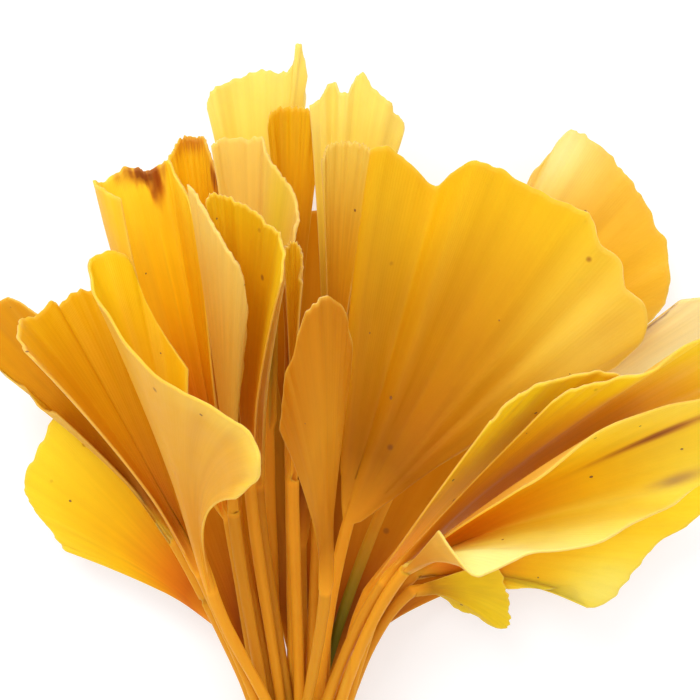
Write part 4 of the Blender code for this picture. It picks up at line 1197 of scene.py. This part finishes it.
@dataclass
class TwineTie:
    """Thin three-strand twine wound round the stalks, with a small knot and two cut ends."""

    slots: dict[str, np.ndarray]
    turns: int = 3
    rope_radius: float = 0.42
    strand_radius: float = 0.215
    strand_offset: float = 0.22
    strand_count: int = 3
    twist_length: float = 2.4
    turn_pitch: float = 0.88
    steps: int = 90
    loop_steps: int = 40
    end_steps: int = 24
    least_steps: int = 12
    step_length: float = 0.16
    profile_sides: int = 9

    def support(self, angle: np.ndarray) -> np.ndarray:
        """How far the bundle reaches from its middle, each way round."""
        offsets = np.array(list(self.slots.values())) - TIE_CENTRE
        flat = np.stack([offsets @ RIGHT, offsets @ UP], -1)
        rays = np.stack([np.cos(angle), np.sin(angle)], -1)
        return (rays @ flat.T).max(axis=1) + STALK_RADIUS

    def wound_route(self) -> np.ndarray:
        """The winding round the bundle, from the knot on top and back to it."""
        share = np.linspace(0, 1, self.turns * self.steps)
        angle = math.pi / 2 + share * self.turns * 2 * math.pi
        radius = self.support(angle) + TIE_GAP + self.rope_radius
        shift = (share - 0.5) * (self.turns - 1) * self.turn_pitch
        return TIE_CENTRE + ring_way(angle) * radius[:, None] + AXIS * shift[:, None]

    def knot_routes(self) -> list[np.ndarray]:
        """The knot's loop over the turns, and the two short ends."""
        reach = float(self.support(np.array([math.pi / 2]))[0]) + TIE_GAP + self.rope_radius
        top = TIE_CENTRE + UP * reach
        turn = np.linspace(0, 2 * math.pi, self.loop_steps)[:, None]
        over = UP * (0.42 + 0.62 * np.sin(turn)) + RIGHT * 0.30 * np.sin(turn)
        routes = [top + AXIS * 1.75 * np.cos(turn) + over]
        t = np.linspace(0, 1, self.end_steps)[:, None]
        rise = 0.75 + 0.9 * np.sin(math.pi * np.minimum(t * 1.15, 1.0)) - 2.4 * t**2
        for side in (-1, 1):
            out = RIGHT * (0.3 + 5.2 * t) + AXIS * (0.5 + 0.9 * t**2)
            routes.append(top + side * out + UP * rise)
        return routes

    def strands(self, route: np.ndarray) -> list[np.ndarray]:
        """The strands twisted round a route."""
        way = unit(np.gradient(route, axis=0))
        length = np.concatenate([[0], np.cumsum(np.linalg.norm(np.diff(route, axis=0), axis=1))])
        even = np.linspace(0, length[-1], max(int(length[-1] / self.step_length), self.least_steps))
        route, way = (np.stack([np.interp(even, length, line[:, k]) for k in range(3)], -1)
                      for line in (route, way))
        way = unit(way)
        first = unit(np.cross(way, AXIS + 0.31 * UP))
        second = np.cross(way, first)
        made = []
        for strand in range(self.strand_count):
            turn = (even / self.twist_length + strand / self.strand_count)[:, None] * 2 * math.pi
            made.append(route + self.strand_offset * (np.cos(turn) * first + np.sin(turn) * second))
        return made

    def tree(self) -> bpy.types.NodeTree:
        """The tree that sweeps a round strand along every path."""
        tree, kit, given = new_tree("twine_strands", {
            "Strand Radius": "Float", "Twine Material": "Material"})
        circle = kit.made("GeometryNodeCurvePrimitiveCircle", {
            "Resolution": self.profile_sides, "Radius": given["Strand Radius"]})
        sweep = kit.made("GeometryNodeCurveToMesh", {
            "Curve": given["Geometry"], "Profile Curve": circle, "Fill Caps": True})
        real = kit.made("GeometryNodeRealizeInstances", {0: sweep})
        finish = kit.made("GeometryNodeSetMaterial", {"Geometry": real, "Material": given["Twine Material"]})
        kit.add("NodeGroupOutput", {0: finish})
        return tree

    def build(self, origin: np.ndarray) -> None:
        """Build the twine and set it in place of its packed ring."""
        curve = bpy.data.curves.new("twine_paths", "CURVE")
        curve.dimensions = "3D"
        for route in (self.wound_route(), *self.knot_routes()):
            for strand in self.strands(route):
                spline = curve.splines.new("POLY")
                spline.points.add(len(strand) - 1)
                flat = np.ones((len(strand), 4))
                flat[:, :3] = (strand - origin) * MM
                spline.points.foreach_set("co", flat.ravel())
        piece = settle_modifier(in_scene("twine_paths", curve), self.tree(), {
            "Strand Radius": self.strand_radius * MM, "Twine Material": TwineFinish().make()}, "twine_tie")
        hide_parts("stalk_tie")
        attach(piece, "root")
        log.info("%s: %d points", piece.name, len(piece.data.vertices))


@dataclass
class Stage:
    """The plain floor, the soft light and the camera that looks down on the bunch."""

    lens: float = 135.0
    sensor: float = 36.0
    distance: float = 394.0
    mid_height: float = 25.0
    view_centre: tuple[float, float] = (-3.3, 18.0)
    near_clip: float = 0.01
    floor_half: float = 3.0
    floor_colour: Colour = (0.60, 0.60, 0.60)
    floor_glow: float = 0.48
    surround: float = 0.88
    white: Colour = (1.0, 1.0, 1.0)
    aim: Point = (0.0, 0.0, 0.02)

    def add_floor(self) -> None:
        """A wide pale floor."""
        mesh = bpy.data.meshes.new("floor")
        far = self.floor_half
        corners = ((-far, -far, 0), (far, -far, 0), (far, far, 0), (-far, far, 0))
        mesh.from_pydata(corners, [], [(0, 1, 2, 3)])
        material, kit, shader = new_material("floor_white")
        kit.fill(shader, {"Base Color": (*self.floor_colour, 1.0), "Emission Color": (*self.white, 1.0),
                          "Emission Strength": self.floor_glow, "Roughness": 0.9, "Specular IOR Level": 0.1})
        mesh.materials.append(material)
        in_scene("floor", mesh)

    def add_light(self, name: str, place: Point, size: float, power: float) -> None:
        """A square soft light aimed at the bunch."""
        data = bpy.data.lights.new(name, "AREA")
        data.shape = "SQUARE"
        data.size = size
        data.energy = power
        lamp = in_scene(name, data)
        lamp.location = place
        aim = np.array(self.aim) - np.array(place)
        yaw = math.atan2(aim[1], aim[0]) - math.pi / 2
        lamp.rotation_euler = (math.acos(-aim[2] / np.linalg.norm(aim)), 0.0, yaw)

    def add_world(self) -> None:
        """An even white surround."""
        world = bpy.data.worlds.new("surround")
        world.use_nodes = True
        light = world.node_tree.nodes["Background"]
        light.inputs["Color"].default_value = (*self.white, 1.0)
        light.inputs["Strength"].default_value = self.surround
        bpy.context.scene.world = world
        bpy.context.scene.view_settings.view_transform = "Standard"

    def add_camera(self, origin: np.ndarray) -> None:
        """A long lens straight above the bunch, with the stalks towards the bottom of the picture."""
        data = bpy.data.cameras.new("camera")
        data.lens = self.lens
        data.sensor_width = self.sensor
        data.clip_start = self.near_clip
        camera = in_scene("camera", data)
        camera.location = (np.array((*self.view_centre, self.mid_height + self.distance)) - origin) * MM
        bpy.context.scene.camera = camera

    def build(self, origin: np.ndarray) -> None:
        """Build the whole stage."""
        self.add_floor()
        self.add_world()
        self.add_light("key", place=(-0.25, 0.55, 0.75), size=0.5, power=4.4)
        self.add_light("fill", place=(0.45, -0.25, 0.80), size=0.8, power=0.8)
        self.add_camera(origin)


def packed_origin(slots: dict[str, np.ndarray]) -> np.ndarray:
    """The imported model's origin in the plan's millimetres.

    The tie is a plain ring whose middle and reach are known, so its packed box gives the origin.
    """
    low, high = (np.array(corner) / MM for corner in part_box("stalk_tie"))
    turns = np.linspace(0, 2 * np.pi, TIE_SEGMENTS, endpoint=False)
    outer = TwineTie(slots).support(turns) + TIE_GAP + TIE_THICKNESS
    ring = TIE_CENTRE + ring_way(turns) * outer[:, None]
    made = np.concatenate([ring - AXIS * TIE_WIDTH / 2, ring + AXIS * TIE_WIDTH / 2])
    return (made.min(axis=0) + made.max(axis=0)) / 2 - (low + high) / 2


def main() -> None:
    """Lay the leaves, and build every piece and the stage."""
    logging.basicConfig(level=logging.INFO, format="%(message)s")
    bunch = LeafBunch(LEAVES)
    slots = bunch.lay()
    origin = packed_origin(slots)
    bunch.build(origin)
    TwineTie(slots).build(origin)
    Stage().build(origin)


if __name__ == "__main__":
    main()
